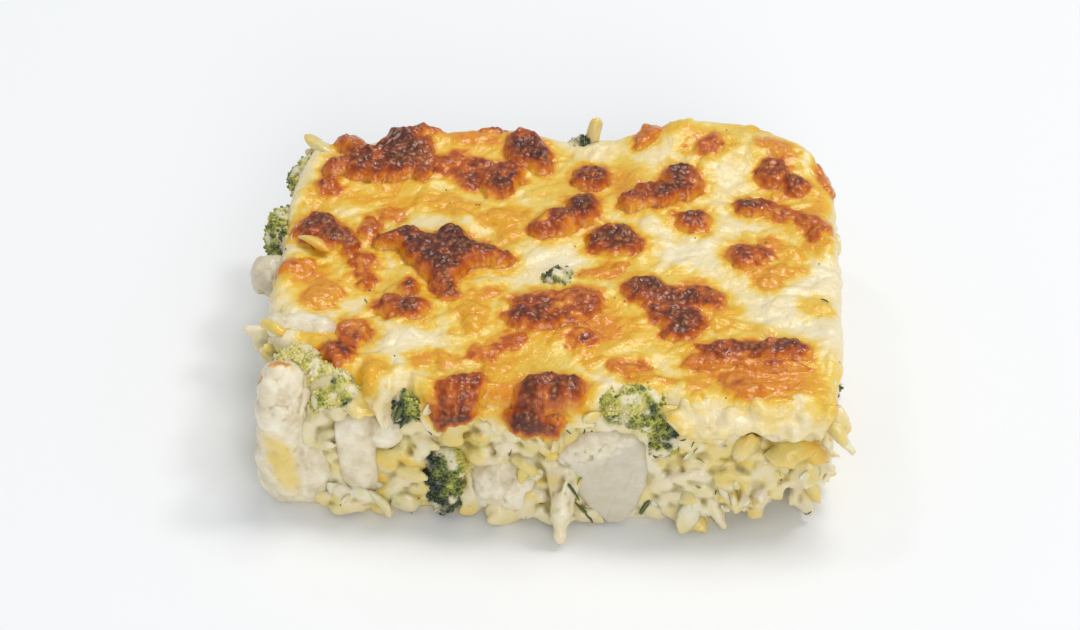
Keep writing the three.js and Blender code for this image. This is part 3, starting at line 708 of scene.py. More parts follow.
def filling_material(name="creamy_filling", glow=0.3):
    s = Shading(name, 0.36, specular=0.4, glow=glow, glow_reach=1.8, coat=0.5)
    fine = s.noise(1.4, 4, 0.6)
    cloud = s.noise(6, 3, 0.55)
    green = s.grey(s.noise(4.2, 3, 0.6), [(0.5, 0.0), (0.68, 0.55)])
    tone = s.around(s.around(s.field("tone"), fine, 0.25), cloud, 0.4)
    colour = s.ramp(tone, [
        (0.0, (0.80, 0.72, 0.53)),
        (0.25, (0.78, 0.67, 0.40)),
        (0.5, (0.77, 0.62, 0.24)),
        (0.8, (0.77, 0.55, 0.10)),
        (1.0, (0.76, 0.40, 0.03)),
    ])
    colour = s.mix(green, colour, (0.66, 0.60, 0.20))
    # Painted shade: darker olive-yellow in the creases between grains (the hollow field).
    painted_crease_shade = s.grey(s.field("hollow"), [(0.0, 0.0), (0.7, 1.0)])
    colour = s.tinted(painted_crease_shade, colour, (0.44, 0.36, 0.10))
    roughness = s.around(0.34, fine, 0.25)
    height = s.plus(s.noise(0.9, 3, 0.6), s.noise(0.35, 2, 0.5), 0.4)
    s.bump(s.noise(1.6, 2, 0.4), 0.25, "Coat Normal")
    return s.finish(colour, roughness, height, 0.14)


def cauliflower_material():
    s = Shading("cooked_cauliflower", 0.4, specular=0.4, glow=0.3, glow_reach=1.6, coat=0.35)
    fine = s.noise(1.2, 4, 0.6)
    cloud = s.noise(4.5, 3, 0.55)
    colour = s.ramp(s.around(cloud, fine, 0.3), [
        (0.3, (0.64, 0.54, 0.35)),
        (0.5, (0.78, 0.69, 0.50)),
        (0.7, (0.87, 0.81, 0.66)),
    ])
    fibres = s.noise(2.2, 3, 0.6, stretch=(0.5, 1.0, 1.1))
    cut = s.ramp(fibres, [(0.3, (0.55, 0.49, 0.37)), (0.7, (0.64, 0.585, 0.46))])
    # Towards the grey cut colour: the wedge's own cut face, and painted shade on the chunk at the left.
    colour = s.mix(s.field("grey"), colour, cut)
    colour = s.mix(s.field("yellow"), colour, (0.79, 0.60, 0.19))
    toast = s.around(s.field("toast"), fine, 0.3)
    browned = s.ramp(toast, [
        (0.3, (0.80, 0.58, 0.24)),
        (0.55, (0.70, 0.34, 0.06)),
        (0.9, (0.36, 0.11, 0.02)),
    ])
    colour = s.mix(s.grey(toast, [(0.1, 0.0), (0.3, 0.5), (0.5, 0.9)]), colour, browned)
    # Painted shade: darker and browner in the gaps between curds (the hollow field).
    painted_crease_shade = s.grey(s.field("hollow"), [(0.03, 0.0), (0.5, 1.0)])
    colour = s.tinted(painted_crease_shade, colour, (0.66, 0.56, 0.34))
    height = s.plus(s.noise(0.8, 3, 0.6), s.noise(2.4, 2, 0.5), 2.0)
    s.bump(s.noise(1.8, 2, 0.4), 0.25, "Coat Normal")
    return s.finish(colour, s.around(0.38, fine, 0.25), height, 0.11)


def broccoli_material():
    s = Shading("cooked_broccoli", 0.5, glow=0.12, glow_reach=0.8, coat=0.05)
    fine = s.noise(0.9, 3, 0.6)
    colour = s.ramp(s.around(s.field("tone"), fine, 0.3), [
        (0.0, (0.025, 0.038, 0.024)),
        (0.25, (0.085, 0.11, 0.035)),
        (0.5, (0.26, 0.29, 0.05)),
        (0.75, (0.56, 0.52, 0.11)),
        (1.0, (0.74, 0.64, 0.26)),
    ])
    sauce = s.ramp(fine, [(0.3, (0.74, 0.64, 0.38)), (0.7, (0.82, 0.76, 0.56))])
    colour = s.mix(s.field("sauce"), colour, sauce)
    return s.finish(colour, s.around(0.42, fine, 0.3), s.noise(0.5, 3, 0.6), 0.15)


def herb_material():
    s = Shading("green_herb", 0.5)
    fine = s.noise(0.8, 3, 0.6)
    colour = s.ramp(s.around(s.field("tone"), fine, 0.4), [
        (0.0, (0.05, 0.07, 0.022)),
        (0.5, (0.14, 0.17, 0.04)),
        (1.0, (0.34, 0.35, 0.09)),
    ])
    return s.finish(colour, None, fine, 0.04)


def pepper_material():
    s = Shading("ground_pepper", 0.6)
    fine = s.noise(0.4, 3, 0.6)
    colour = s.ramp(fine, [(0.3, (0.03, 0.018, 0.01)), (0.7, (0.13, 0.075, 0.035))])
    return s.finish(colour, None, fine, 0.05)


# The sheet of cheese. Its hem turns in under itself: millimetres inwards and up from the lowest edge.
HEM_TURNS = ((0.5, -0.35), (1.5, -0.1), (3.2, 0.5))
UNDERSIDE_INSET = 9.0
HOLLOW_ROUNDS = 6
FRECKLES = 70


def rim_order(shape):
    """The indices of a grid, and those of its rim in one turn round."""
    index = np.arange(shape[0] * shape[1]).reshape(shape)
    return index, np.concatenate([index[0, :-1], index[:-1, -1], index[-1, :0:-1], index[:0:-1, 0]])


def cheese_top(u, v):
    """The top's grid: X, Y, Z, how far the front is drawn back there, and the distance from the rim."""
    plan_x, plan_y = plan_point(u, v, 0)
    back = np.where(v < 0, drawn_back(plan_x) * smoothstep(0.3, 1, -v), 0)
    bulge = back_swell(plan_x, v)
    x, y = rounded_corners(plan_x, plan_y + back + bulge)
    swell = 1.2 * noise(x / 19, y / 19, 51.5) + 0.7 * noise(x / 8, y / 8, 57.5)
    from_rim = np.minimum(HALF_WIDTH * (1 - abs(u)), HALF_DEPTH * (1 - abs(v)))
    short = EDGE_RADIUS - np.clip(from_rim, 0, EDGE_RADIUS)
    turn_down = EDGE_RADIUS - np.sqrt(EDGE_RADIUS**2 - short**2)
    rim_swell = smoothstep(9, 1, from_rim) * (0.5 + 1.3 * noise(x / 6.5, y / 6.5, 231.5))
    top = TOP_HEIGHT + swell + SWELL_HEIGHT * bulge + rim_swell - rim_drop(u, v) * turn_down
    return (part.ravel() for part in (x, y, top, back, from_rim))


def cheese_skirt(rim, outward, lean, reach):
    """Rows below the rim: points, places on the unrolled sheet, which way relief goes, share of the hem."""
    rows = []
    for row in range(1, SKIRT_ROWS + 1):
        share = row / SKIRT_ROWS
        z = rim[:, 2] - share * reach
        offset = np.maximum(0.6, side_offset(lean, rim[:, 0], rim[:, 1], z) - 0.5)
        place = rim[:, :2] + outward * (offset * smoothstep(0, 0.4, share))[:, None]
        unrolled = rim[:, :2] + outward * (1.1 * share * reach)[:, None]
        steer = unit(np.c_[outward, np.full(len(rim), 0.5 * (1 - share))])
        rows.append((np.c_[place, z], unrolled, steer, np.full(len(rim), smoothstep(0.5, 1.0, share))))
    turned_in = [np.c_[place - outward * inward, z + up] for inward, up in HEM_TURNS]
    turned_in.append(np.c_[place - outward * UNDERSIDE_INSET, np.full(len(rim), CHEESE_UNDERSIDE)])
    still, whole = np.zeros((len(rim), 3)), np.ones(len(rim))
    return rows + [(points, unrolled, still, whole) for points in turned_in]


def make_cheese(material):
    counts = [round(2 * half / CHEESE_STEP) + 1 for half in (HALF_WIDTH, HALF_DEPTH)]
    x, y, z, back, from_rim = cheese_top(*np.meshgrid(*(np.linspace(-1, 1, n) for n in counts)))
    index, ring = rim_order(counts[::-1])
    rim = np.stack([x[ring], y[ring], z[ring]], 1)
    outward = ring_normals(rim)
    front = np.where(back[ring] > 3, 0, LEAN["front"])
    lean = outward[:, 0] ** 2 * np.where(outward[:, 0] > 0, LEAN["right"], LEAN["left"])
    lean = lean + outward[:, 1] ** 2 * np.where(outward[:, 1] > 0, LEAN["back"], front)
    ragged = 1.1 * noise(rim[:, 0] / 2.3, rim[:, 1] / 2.3, 201.5) + 0.6 * noise(rim[:, 0], rim[:, 1], 207.5)
    reach = np.maximum(1.0, hang(rim[:, 0], rim[:, 1]) + ragged)

    bend = smoothstep(3.5, 0, from_rim)
    nearest = nearest_outward(x, y, rim, outward, bend > 0)
    steer = unit(np.array((0.0, 0.0, 1.0)) + 0.9 * bend[:, None] * np.c_[nearest, np.zeros(len(x))])
    rows = [(np.stack([x, y, z], 1), np.stack([x, y], 1), steer, np.zeros(len(x)))]
    rows += cheese_skirt(rim, outward, lean, reach)
    squares = np.stack([index[:-1, :-1], index[:-1, 1:], index[1:, 1:], index[1:, :-1]], -1)
    faces = [squares.reshape(-1, 4)]
    above, turn = ring, np.roll(np.arange(len(ring)), -1)
    for level in range(len(rows) - 1):
        below = len(x) + level * len(ring) + np.arange(len(ring))
        faces.append(np.stack([above, below, below[turn], above[turn]], 1))
        above = below
    faces = np.concatenate(faces)
    points, fields_at, steer, hem = (np.concatenate(part) for part in zip(*rows))

    rng = np.random.default_rng(5)
    rise, toast, dry_skin_and_sheen = cheese_fields(*fields_at.T, BLISTERS + freckles(rng, FRECKLES))
    grain = 0.8 * pressed_shreds(*fields_at.T, rng)
    grain += 0.16 * turned_noise(*fields_at.T, 1.4, 217, 0.9, 1.4)
    points = points + steer * (rise + grain * (1 - 0.8 * smoothstep(0.2, 1.5, rise)))[:, None]
    below_top = smoothstep(4, 9, TOP_HEIGHT - points[:, 2])
    toast = np.where(toast < 0.5, toast * (1 - 0.55 * below_top), toast)
    toast = toast * (1 - hem * (0.45 + 0.15 * noise(points[:, 0] / 2, points[:, 2] / 2, 241.5)))
    hollow = 2.5 * hollows(points, faces, HOLLOW_ROUNDS)
    underside = above.tolist()[::-1]
    make_piece("cheese_sheet", points, faces.tolist() + [underside], material, ["cheese"],
               {"toast": toast, "dry_skin_and_sheen": dry_skin_and_sheen, "hollow": hollow})
    return points, faces


def rim_drop(u, v):
    """Share of the full turn down at the rim, for the side that is nearest."""
    across = np.where(u > 0, 0.45, 0.55)
    along = np.where(v > 0, 0.22, 0.75)
    share = smoothstep(-0.05, 0.05, abs(v) - abs(u))
    return across * (1 - share) + along * share


def rounded_corners(x, y, rounds=40, band=24):
    """The grid with its rim smoothed, so that cut corners are blunt, and the change carried inwards."""
    move = np.zeros((2, *x.shape))
    ring = rim_order(x.shape)[1]
    for grid, change in zip((x, y), move):
        start = grid.ravel()[ring]
        soft = start.copy()
        for _ in range(rounds):
            soft = 0.5 * soft + 0.25 * (np.roll(soft, 1) + np.roll(soft, -1))
        change.ravel()[ring] = soft - start
    for _ in range(3 * band):
        inner = (move[:, :-2, 1:-1] + move[:, 2:, 1:-1] + move[:, 1:-1, :-2] + move[:, 1:-1, 2:]) / 4
        move[:, 1:-1, 1:-1] = inner
    return x + move[0], y + move[1]


def ring_normals(ring, reach=6):
    tangent = np.roll(ring[:, :2], -reach, axis=0) - np.roll(ring[:, :2], reach, axis=0)
    for _ in range(10):
        tangent = 0.5 * tangent + 0.25 * (np.roll(tangent, 1, axis=0) + np.roll(tangent, -1, axis=0))
    return unit(np.stack([tangent[:, 1], -tangent[:, 0]], 1))


def nearest_outward(x, y, ring, outward, wanted):
    tree = nearest_tree(np.c_[ring[:, :2], np.zeros(len(ring))])
    found = np.zeros((len(x), 2))
    for i in np.nonzero(wanted)[0]:
        found[i] = outward[tree.find((x[i], y[i], 0))[1]]
    return found


# The body of grains in cream sauce.
GRAIN = tube_template(7, 8, lambda t: 0.5 * (1 - abs(2 * t - 1) ** 2.2) ** 0.6)
SHRED = tube_template(9, 8, lambda t: 0.5 * (1 - abs(2 * t - 1) ** 2) ** 0.75)
# Where no cheese covers the body: centre X and Y, half sizes.
BARE_TOPS = [(-52, -36, 10, 6), (-40, -38, 5, 4)]
# The hollow under the front right corner, as its solid has it.
CORNER_HOLLOW = {"at": (50.5, -48, -1), "half": (17, 15.5, 13)}
# How far apart things lie on the sides, and how many lie elsewhere.
BODY_PITCH = 2.9
LOOSE_PITCH = 4.7
HERB_PITCH = 13
PEPPER_PITCH = 12
HOLLOW_GRAINS = 60
BARE_TOP_GRAINS = 30
COATED_GRAINS = 110


def wall_places(rng, pitch):
    """Places over the four cut sides, one for each square of a pitch, and which way is out of them."""
    places, outward = [], []
    for axis, sign in ((1, -1), (0, 1), (1, 1), (0, -1)):
        half = HALF_WIDTH if axis == 1 else HALF_DEPTH
        columns, rows = int(2 * half / pitch), int((CHEESE_UNDERSIDE + 1.5) / pitch)
        column, row = (part.ravel() for part in np.meshgrid(np.arange(columns), np.arange(rows)))
        share = 2 * (column + rng.random(column.size)) / columns - 1
        z = 1.0 + (row + rng.random(row.size)) * pitch
        u = share if axis == 1 else np.full(share.shape, float(sign))
        v = share if axis == 0 else np.full(share.shape, float(sign))
        x, y = plan_point(u, v, CORE_INSET)
        lean = {(1, -1): "front", (1, 1): "back", (0, 1): "right", (0, -1): "left"}[axis, sign]
        out = np.zeros((share.size, 3))
        out[:, axis] = sign
        offset = side_offset(LEAN[lean], x, y, z)
        places.append(np.stack([x, y, z], 1) + out * offset[:, None])
        outward.append(out)
    return np.concatenate(places), np.concatenate(outward)


def under_corner(places):
    """Whether each place is inside the hollow under the front right corner."""
    return (((places - CORNER_HOLLOW["at"]) / CORNER_HOLLOW["half"]) ** 2).sum(1) < 1


def off_floor(centres, direction, long, wide, gap):
    """The centres, raised where a grain would reach lower than a gap above the floor."""
    lowest = centres[:, 2] - abs(direction[:, 2]) * long / 2 - 0.25 * wide
    return centres + np.maximum(0, gap - lowest)[:, None] * (0.0, 0.0, 1.0)


def lay_grains(places, normals, rng, sink, sizes, stand, thick=(0.32, 0.55)):
    """Grains at places on a surface: (centres, directions, normals, sizes).

    sink and thick are shares of a grain's width, sizes are shares of GRAIN_LENGTH, and stand is how
    steeply the grains rise from the surface.
    """
    count = len(places)
    slant = np.cross((0, 0, 1), normals) - (0, 0, 0.7)
    towards = unit(rng.normal(size=(count, 3)) + 0.9 * slant)
    flat = unit(towards - normals * np.einsum("ij,ij->i", towards, normals)[:, None])
    direction = unit(flat + stand * rng.normal(size=(count, 1)) * normals)
    long = GRAIN_LENGTH * rng.uniform(*sizes, count)
    wide = GRAIN_WIDTH * rng.uniform(0.9, 1.7, count)
    centres = off_floor(places - normals * (sink * wide)[:, None], direction, long, wide, 0.2)
    return centres, direction, normals, np.stack([long, wide, wide * rng.uniform(*thick, count)], 1)


# Strings that hang from the body: from, to and width of the shreds that they are torn into.
STRANDS = [
    ((3.4, -44.5, 14), (2.7, -52.6, 2.0), 4.2),
    ((33, -43, 11), (37, -47.2, 1.4), 3.6),
    ((43.2, -41, 13.5), (43.4, -44, 2.2), 4.4),
    ((54.5, -39, 14), (53, -40.6, 2.0), 4.2),
    ((56.4, -37, 27.6), (61.4, -42.6, 22.6), 5.4),
    ((58, -38, 25), (62.2, -42.6, 20.6), 3.0),
    ((-57, -21, 25), (-65.2, -18.6, 26.6), 5.6),
    ((-56, 37, 28), (-60, 41, 31.2), 3.2),
]


def strand_shreds(rng):
    """A few long shreds along each string: (centres, directions, normals, sizes)."""
    rows = []
    for start, end, wide in STRANDS:
        start, end = np.array(start, float), np.array(end, float)
        reach = np.linalg.norm(end - start)
        for _ in range(4):
            middle = start + (end - start) * rng.uniform(0.25, 0.6) + rng.normal(size=3) * 0.22 * wide
            direction = unit(end - start + rng.normal(size=3) * 0.13 * reach)
            size = (0.75 * reach, 0.8 * wide, 0.5 * wide)
            rows.append((middle, direction, unit(rng.normal(size=3)), size))
    centres, direction, normals, sizes = (np.array(part) for part in zip(*rows))
    return off_floor(centres, direction, sizes[:, 0], sizes[:, 1], 0.3), direction, normals, sizes


def beyond_walls(points):
    """How far points stand out of the body's mean sides, in millimetres."""
    x, y, z = points.T
    up = 1 - z / CORE_HEIGHT
    sides = [
        -y - HALF_DEPTH - LEAN["front"] * up,
        y - HALF_DEPTH - LEAN["back"] * up - BACK_SKEW * x,
        -x - HALF_WIDTH - LEAN["left"] * up,
        x - HALF_WIDTH - LEAN["right"] * up,
    ]
    return np.max(sides, axis=0)


def body_grains(rng, chunks):
    """Grains of the body: over the sides, round the corner hollow and on the bare tops."""
    places, normals = wall_places(rng, BODY_PITCH)
    clear = ~under_corner(places)
    places, normals = places[clear], normals[clear]
    solid = node_shape("filling")
    hollow_places, hollow_normals = spread_points(*solid, HOLLOW_GRAINS, rng, round_corner)
    bare = np.concatenate([
        rng.uniform(-1, 1, (BARE_TOP_GRAINS, 3)) * (half_x, half_y, 0.9) + (centre_x, centre_y, 27.4)
        for centre_x, centre_y, half_x, half_y in BARE_TOPS
    ])
    places = np.concatenate([places, hollow_places, bare])
    normals = np.concatenate([normals, hollow_normals, np.tile((0.0, 0.0, 1.0), (len(bare), 1))])
    places = places + normals * rng.uniform(-0.6, 1.1, (len(places), 1))
    laid = lay_grains(places, normals, rng, sink=0.1, sizes=(0.6, 1.1), stand=0.3)
    clear = clear_of(chunks, laid[0], 0.9) & near_walls(laid)
    return [np.concatenate([part[clear], more]) for part, more in zip(laid, strand_shreds(rng))]


def round_corner(middles, normals):
    near = (middles[:, 0] > 36) & (middles[:, 1] < -31)
    return near & (middles[:, 2] < 16) & (middles[:, 2] > 6)


def make_filling(chunks, chunk_shapes):
    rng = np.random.default_rng(31)
    centres, direction, normals, sizes = body_grains(rng, chunks)
    heaped = copies(GRAIN, centres, direction, normals, sizes, rng.uniform(-0.2, 0.9, len(centres)))
    points, faces = voxel_skin(*joined([node_shape("filling"), heaped, *chunk_shapes]), FILLING_VOXEL)
    points = smoothed(points, faces, 1)
    beyond = smoothstep(0.5, 3, beyond_walls(points))
    normal = vertex_normals(points, faces)
    ripple = 0.24 * noise_at(points, 1.7)
    torn = beyond * (0.9 * noise_at(points, 2.6) + 0.4 * noise_at(points, 1.2))
    inner = (points[:, 2] > 0.9) & (points[:, 2] < CHEESE_UNDERSIDE - 0.7)
    points = points + normal * ((ripple + torn) * inner)[:, None]
    tone = grain_tones(points, centres, direction, sizes, rng.random(len(centres)) ** 1.1)
    tone = smoothed(tone, faces, 3)
    coat = 0.5 + 0.5 * noise_at(points, 5, 300)
    tone = tone * (0.4 + 0.6 * coat) * (1 - 0.7 * beyond)
    hollow = hollows(points, faces, 14)
    make_piece("filling_body", points, faces, filling_material(), ["filling"],
               {"tone": tone, "hollow": hollow * 2.4}, FILLING_SHARE)
    return points, faces


def grain_tones(points, centres, direction, sizes, tones):
    """The tone of the grain nearest to each point, by three places along each grain."""
    shares = np.array((-0.32, 0, 0.32))
    along = (direction * sizes[:, :1])[:, None] * shares[:, None]
    tree = nearest_tree((centres[:, None] + along).reshape(-1, 3))
    return np.array([tones[tree.find(p)[1] // len(shares)] for p in points.tolist()])


# Grains that stand out by themselves: middle, direction, length, width and tone (0 cream to 1 orange).
SINGLE_GRAINS = [
    ((-53.2, 2.2, 34.3), (0.78, -0.6, 0.05), 9, 2.9, 0.88),
    ((-56.4, 37.8, 32.8), (-0.78, 0.6, 0.1), 10, 4.2, 0.5),
    ((5.6, 43.6, 35.0), (0.25, 0.3, 0.9), 7.5, 4.6, 0.45),
    ((49.5, -41.6, 20.2), (0.95, 0.1, 0.1), 12, 8.4, 0.7),
    ((54.4, -40.2, 17.8), (0.6, 0.1, -0.5), 8, 7.0, 0.85),
    ((54.8, -41.4, 9.5), (0.35, 0.1, -0.9), 9, 4.6, 0.6),
    ((40.5, -42.8, 21.4), (0.3, -0.1, 0.9), 8, 6.4, 0.5),
    ((-58.4, -24.6, 33.4), (0.8, -0.6, 0), 8.5, 3.4, 0.75),
]


def on_surface(places, surface):
    """The places moved to the nearest point of a surface, and the way out of it there."""
    tree = tree_of([surface])
    hits = [tree.find_nearest(p) for p in places.tolist()]
    return np.array([h[0] for h in hits]), np.array([h[1] for h in hits])


def make_loose_grains(filling, chunks):
    rng = np.random.default_rng(47)
    places, _ = wall_places(rng, LOOSE_PITCH)
    places, normals = on_surface(places[~under_corner(places)], filling)
    usable = (places[:, 2] > 1) & (abs(normals[:, 2]) < 0.8)
    usable &= clear_of(chunks, places, 1.6)
    places, normals = places[usable], normals[usable]
    laid = lay_grains(places, normals, rng, sink=0.3, sizes=(0.55, 1.05), stand=0.4, thick=(0.22, 0.4))
    near = near_walls(laid)
    laid = [part[near] for part in laid]
    shape = [wobbled(copies(SHRED, *laid, rng.uniform(-0.1, 1.1, len(laid[0]))), 0.35, 2.4)]
    tones = list(0.55 * rng.random(len(laid[0])) ** 1.5)
    for middle, direction, long, wide, tone in SINGLE_GRAINS:
        up = np.array([(0.0, 0.3, 1.0)])
        sizes = np.array([(long, wide, 0.7 * wide)])
        single = copies(SHRED, np.array([middle]), np.array([direction]), up, sizes, np.array([0.3]))
        shape.append(wobbled(single, 0.16 * wide, 2.6))
        tones.append(tone)
    shape, shape_faces = joined(shape)
    along = np.tile(SHRED[0][:, 0], len(tones))
    tone = np.clip(np.repeat(tones, len(SHRED[0])) + 0.5 * along, 0, 1)
    make_piece("loose_grains", shape, shape_faces, filling_material("cooked_grain", 0.35), (),
               {"tone": tone, "hollow": np.zeros(len(shape))})


def near_walls(laid):
    """Whether the ends of each grain stay close to the body's mean sides, closest at the left."""
    centres, direction, _, sizes = laid
    half = 0.5 * sizes[:, :1] * direction
    beyond = np.maximum(beyond_walls(centres + half), beyond_walls(centres - half))
    return beyond < np.where(centres[:, 0] < -HALF_WIDTH + 5, 1.4, 3.6)


def clear_of(tree, places, gap):
    """Whether each place lies outside the shapes of a tree, further than a gap."""
    hits = [tree.find_nearest(place) for place in places.tolist()]
    outside = [(Vector(place) - hit[0]).dot(hit[1]) > 0 for place, hit in zip(places, hits)]
    return np.array(outside) & (np.array([hit[3] for hit in hits]) > gap)


def wobbled(shape, amount, size):
    """A shape with its points moved a little by noise, and kept off the floor."""
    points, faces = shape
    moved = points + amount * np.stack([noise(*(points.T / size + seed)) for seed in (10, 20, 30)], 1)
    moved[:, 2] = np.maximum(moved[:, 2], 0.1)
    return moved, faces


def make_coated_grains(cheese, material):
    """Grains under a coat of cheese, fused to lumps, where it gives way to the body at the front right."""
    rng = np.random.default_rng(53)
    spots = rng.uniform((22, -47, 19), (60, -41, 32), (COATED_GRAINS, 3))
    places, normals = on_surface(spots, cheese)
    laid = lay_grains(places, normals, rng, sink=0.25, sizes=(0.7, 1.1), stand=0.3, thick=(0.6, 0.9))
    laid[3][:, 1:] *= 1.25
    lumps = copies(SHRED, *laid, rng.uniform(0, 0.8, len(places)))
    shape, faces = voxel_skin(*lumps, FILLING_VOXEL)
    shape, faces = wobbled((smoothed(shape, faces, 4), faces), 0.5, 2.6)
    height = smoothstep(20, 32, shape[:, 2])
    patch = 0.5 + 0.5 * noise_at(shape, 5.0)
    toast = 0.03 + 0.36 * height * patch + 0.08 * noise_at(shape, 1.8)
    make_piece("coated_grains", shape, faces, material, (), {
        "toast": np.clip(toast, 0, 0.45),
        "dry_skin_and_sheen": np.zeros(len(shape)),
        "hollow": 2 * hollows(shape, faces, 10),
    })


# Chunks of cauliflower.
CAULIFLOWER = [n for n in sorted(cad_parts) if n.startswith("cauliflower")]
BROCCOLI = [n for n in sorted(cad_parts) if n.startswith("broccoli")]
SUNK = {  # how much deeper in the sauce some pieces lie
    "broccoli_right": 1.1,
    "broccoli_on_top": 0.5,
    "broccoli_rim_back": 0.8,
    "broccoli_left": 0.6,
    "cauliflower_left": 0.6,
}
CURDS = {  # how far curds stand out on each chunk, and how far apart they are
    "cauliflower_corner": (0.35, 4.5),
    "cauliflower_stalk": (0.05, 3),
    "cauliflower_floret": (0.5, 2.6),
    "cauliflower_on_top": (0.4, 3),
}
OTHER_CURDS = (0.55, 2.4)
# How grey each chunk is: the wedge's cut face is greyish of itself, while on cauliflower_left the grey is
# painted shade of its shadowed side.
GREY_CUT_AND_SHADE = {"cauliflower_wedge": 0.85, "cauliflower_left": 0.6}
# Fills the waist between the corner piece's two lumps: middle, direction, upward and size.
CORNER_WAIST = ((-55.4, -39.8, 16), (0, 0, 1), (0, 1, 0), (13, 10.4, 10.6))
CORNER_SCORCHES = ((-58.6, -39.2, 1.1), (-55.2, -38, 2.0))  # centre X and Y, half width
CORNER_YELLOW = {"x": -55.2, "z": 14.5, "half_x": 3.4, "half_z": 8.5, "slant": 0.25}


def area_of(points, triangles):
    a, b, c = corners_of(points, triangles)
    return 0.5 * np.linalg.norm(np.cross(b - a, c - a), axis=1).sum()


def curd_bumps(points, faces, rng, spacing, height):
    """Round curds: each point rises by its nearness to the nearest of a spread of centres."""
    count = max(8, int(area_of(points, as_triangles(faces)) / spacing**2))
    centres, _ = spread_points(points, faces, count, rng, lambda middles, normals: np.ones(len(middles)))
    tree = nearest_tree(centres)
    distance = np.array([tree.find(p)[2] for p in points.tolist()])
    return height * (np.sqrt(np.maximum(0, 1 - (distance / (0.95 * spacing)) ** 2)) - 0.4)


def with_curds(push, name, points, faces, rng):
    """The push outwards with curds of two sizes added to it, boldest on the corner piece's head."""
    height, spacing = CURDS.get(name, OTHER_CURDS)
    head = smoothstep(20, 27, points[:, 2]) if name == "cauliflower_corner" else 0
    push = push + curd_bumps(points, faces, rng, spacing, height) * (1 + head)
    push = push + 0.4 * head * noise_at(points, 1.7)
    fine = curd_bumps(points, faces, rng, 0.45 * spacing, 0.25 * height)
    return push + fine * (height > 0.3) * (1 + 4.2 * head)


def cut_face_crumbs(points):
    """Where the cut face gives way to crumbs, from 0 below a slanting border to 1 above it."""
    x, _, z = points.T
    border = z - 0.25 * (x - 11) + 3.5 * noise(x / 3.4, z / 3.4, 4.5) + noise(x, z, 6.5)
    return smoothstep(16, 22, border)


def with_fibres(push, points, faces, rng):
    """The push outwards with a cut face's fibres and crumbs added to it."""
    x, _, z = points.T
    push = push + 0.1 * turned_noise(x, z, 0.7, 5, 1.3, 5) + 0.12 * noise(x / 2.4, z / 2.4, 7.5)
    return push + curd_bumps(points, faces, rng, 1.8, 1.0) * cut_face_crumbs(points)


def corner_marks(points, normals):
    """The corner piece's scorched spots and the yellow stain on its front: (toast, yellow)."""
    x, y, z = points.T
    toast = np.zeros(len(points))
    for spot_x, spot_y, half in CORNER_SCORCHES:
        spot = np.hypot((x - spot_x) / half, (y - spot_y) / 1.3) + 0.6 * noise_at(points, 1)
        toast = np.maximum(toast, 0.75 * smoothstep(1.1, 0.3, spot) * (z > 29))
    stain = CORNER_YELLOW
    up = z - stain["z"]
    aside = x - stain["x"] + stain["slant"] * up
    yellow = smoothstep(1.25, 0.45, np.hypot(aside / stain["half_x"], up / stain["half_z"]))
    return toast, yellow * (smoothstep(-0.1, 0.4, -normals[:, 1]) * (1 + 0.3 * noise_at(points, 2.5)))


def scorch_on_top(points):
    """Browning of the piece on the cheese: faint patches and one scorched edge."""
    x, y, _ = points.T
    scorch = smoothstep(1.2, 0.4, np.hypot((x + 55.4) / 2.4, (y + 26) / 1.1) + 0.3 * noise(x, y, 15.5))
    return 0.25 * smoothstep(0.3, 0.9, noise(x / 2.6, y / 2.6, 12.5)) + 1.2 * scorch


def make_cauliflower(name, seed, material):
    rng = np.random.default_rng(seed)
    flat_cut = name == "cauliflower_wedge"
    shape = [node_shape(name)]
    if name == "cauliflower_corner":
        shape.append(copies(GRAIN, *(np.array([value]) for value in CORNER_WAIST), np.zeros(1)))
    skin, faces = voxel_skin(*joined(shape), CHUNK_VOXEL * (0.8 if flat_cut else 1))
    skin = smoothed(skin, faces, 1 if flat_cut else 3)
    normals = vertex_normals(skin, faces)
    calm = {"cauliflower_wedge": 0.15, "cauliflower_stalk": 0.4}.get(name, 1)
    push = 0.35 + calm * (0.7 * noise_at(skin, 4.8, seed) + 0.3 * noise_at(skin, 2, seed))
    push = with_fibres(push, skin, faces, rng) if flat_cut else with_curds(push, name, skin, faces, rng)
    points = skin + normals * (push - SUNK.get(name, 0))[:, None]

    toast = yellow = np.zeros(len(points))
    # Greyer colour: the cut face's own grey, and painted shade on the left chunk.
    grey = np.full(len(points), GREY_CUT_AND_SHADE.get(name, 0.0))
    if flat_cut:
        grey = grey * (1 - 0.85 * cut_face_crumbs(skin))
    if name == "cauliflower_corner":
        toast, yellow = corner_marks(skin, normals)
    if name == "cauliflower_on_top":
        toast = scorch_on_top(skin)
    make_piece(name + "_cooked", points, faces, material, [name],
               {"hollow": 2 * hollows(points, faces, 8), "toast": toast, "yellow": yellow, "grey": grey})


# Florets of broccoli: share of yellow-green, share of sauce, and how much greener they are at the right.
BUD_MIX = {
    "broccoli_top_left": (0.85, 0.5, 0.0),
    "broccoli_front": (0.22, 0.15, 0.5),
    "broccoli_front_right": (0.6, 0.3, -0.2),
    "broccoli_leaf": (0.2, 0.0, 0.45),
    "broccoli_on_top": (0.45, 0.3, 0.0),
    "broccoli_left": (0.7, 0.25, 0.0),
    "broccoli_left_back": (0.65, 0.25, 0.0),
}
OTHER_MIX = (0.4, 0.3, 0.0)
BUDS_PER_AREA = 4
BUD_GAP = 0.5


def ball_template():
    ball = bpy.data.meshes.new("ball")
    shape = bmesh.new()
    bmesh.ops.create_icosphere(shape, subdivisions=2, radius=1.0)
    shape.to_mesh(ball)
    shape.free()
    points = numbers(ball.vertices, "co", 3)
    faces = np.array([tuple(p.vertices) for p in ball.polygons])
    bpy.data.meshes.remove(ball)
    return points, faces


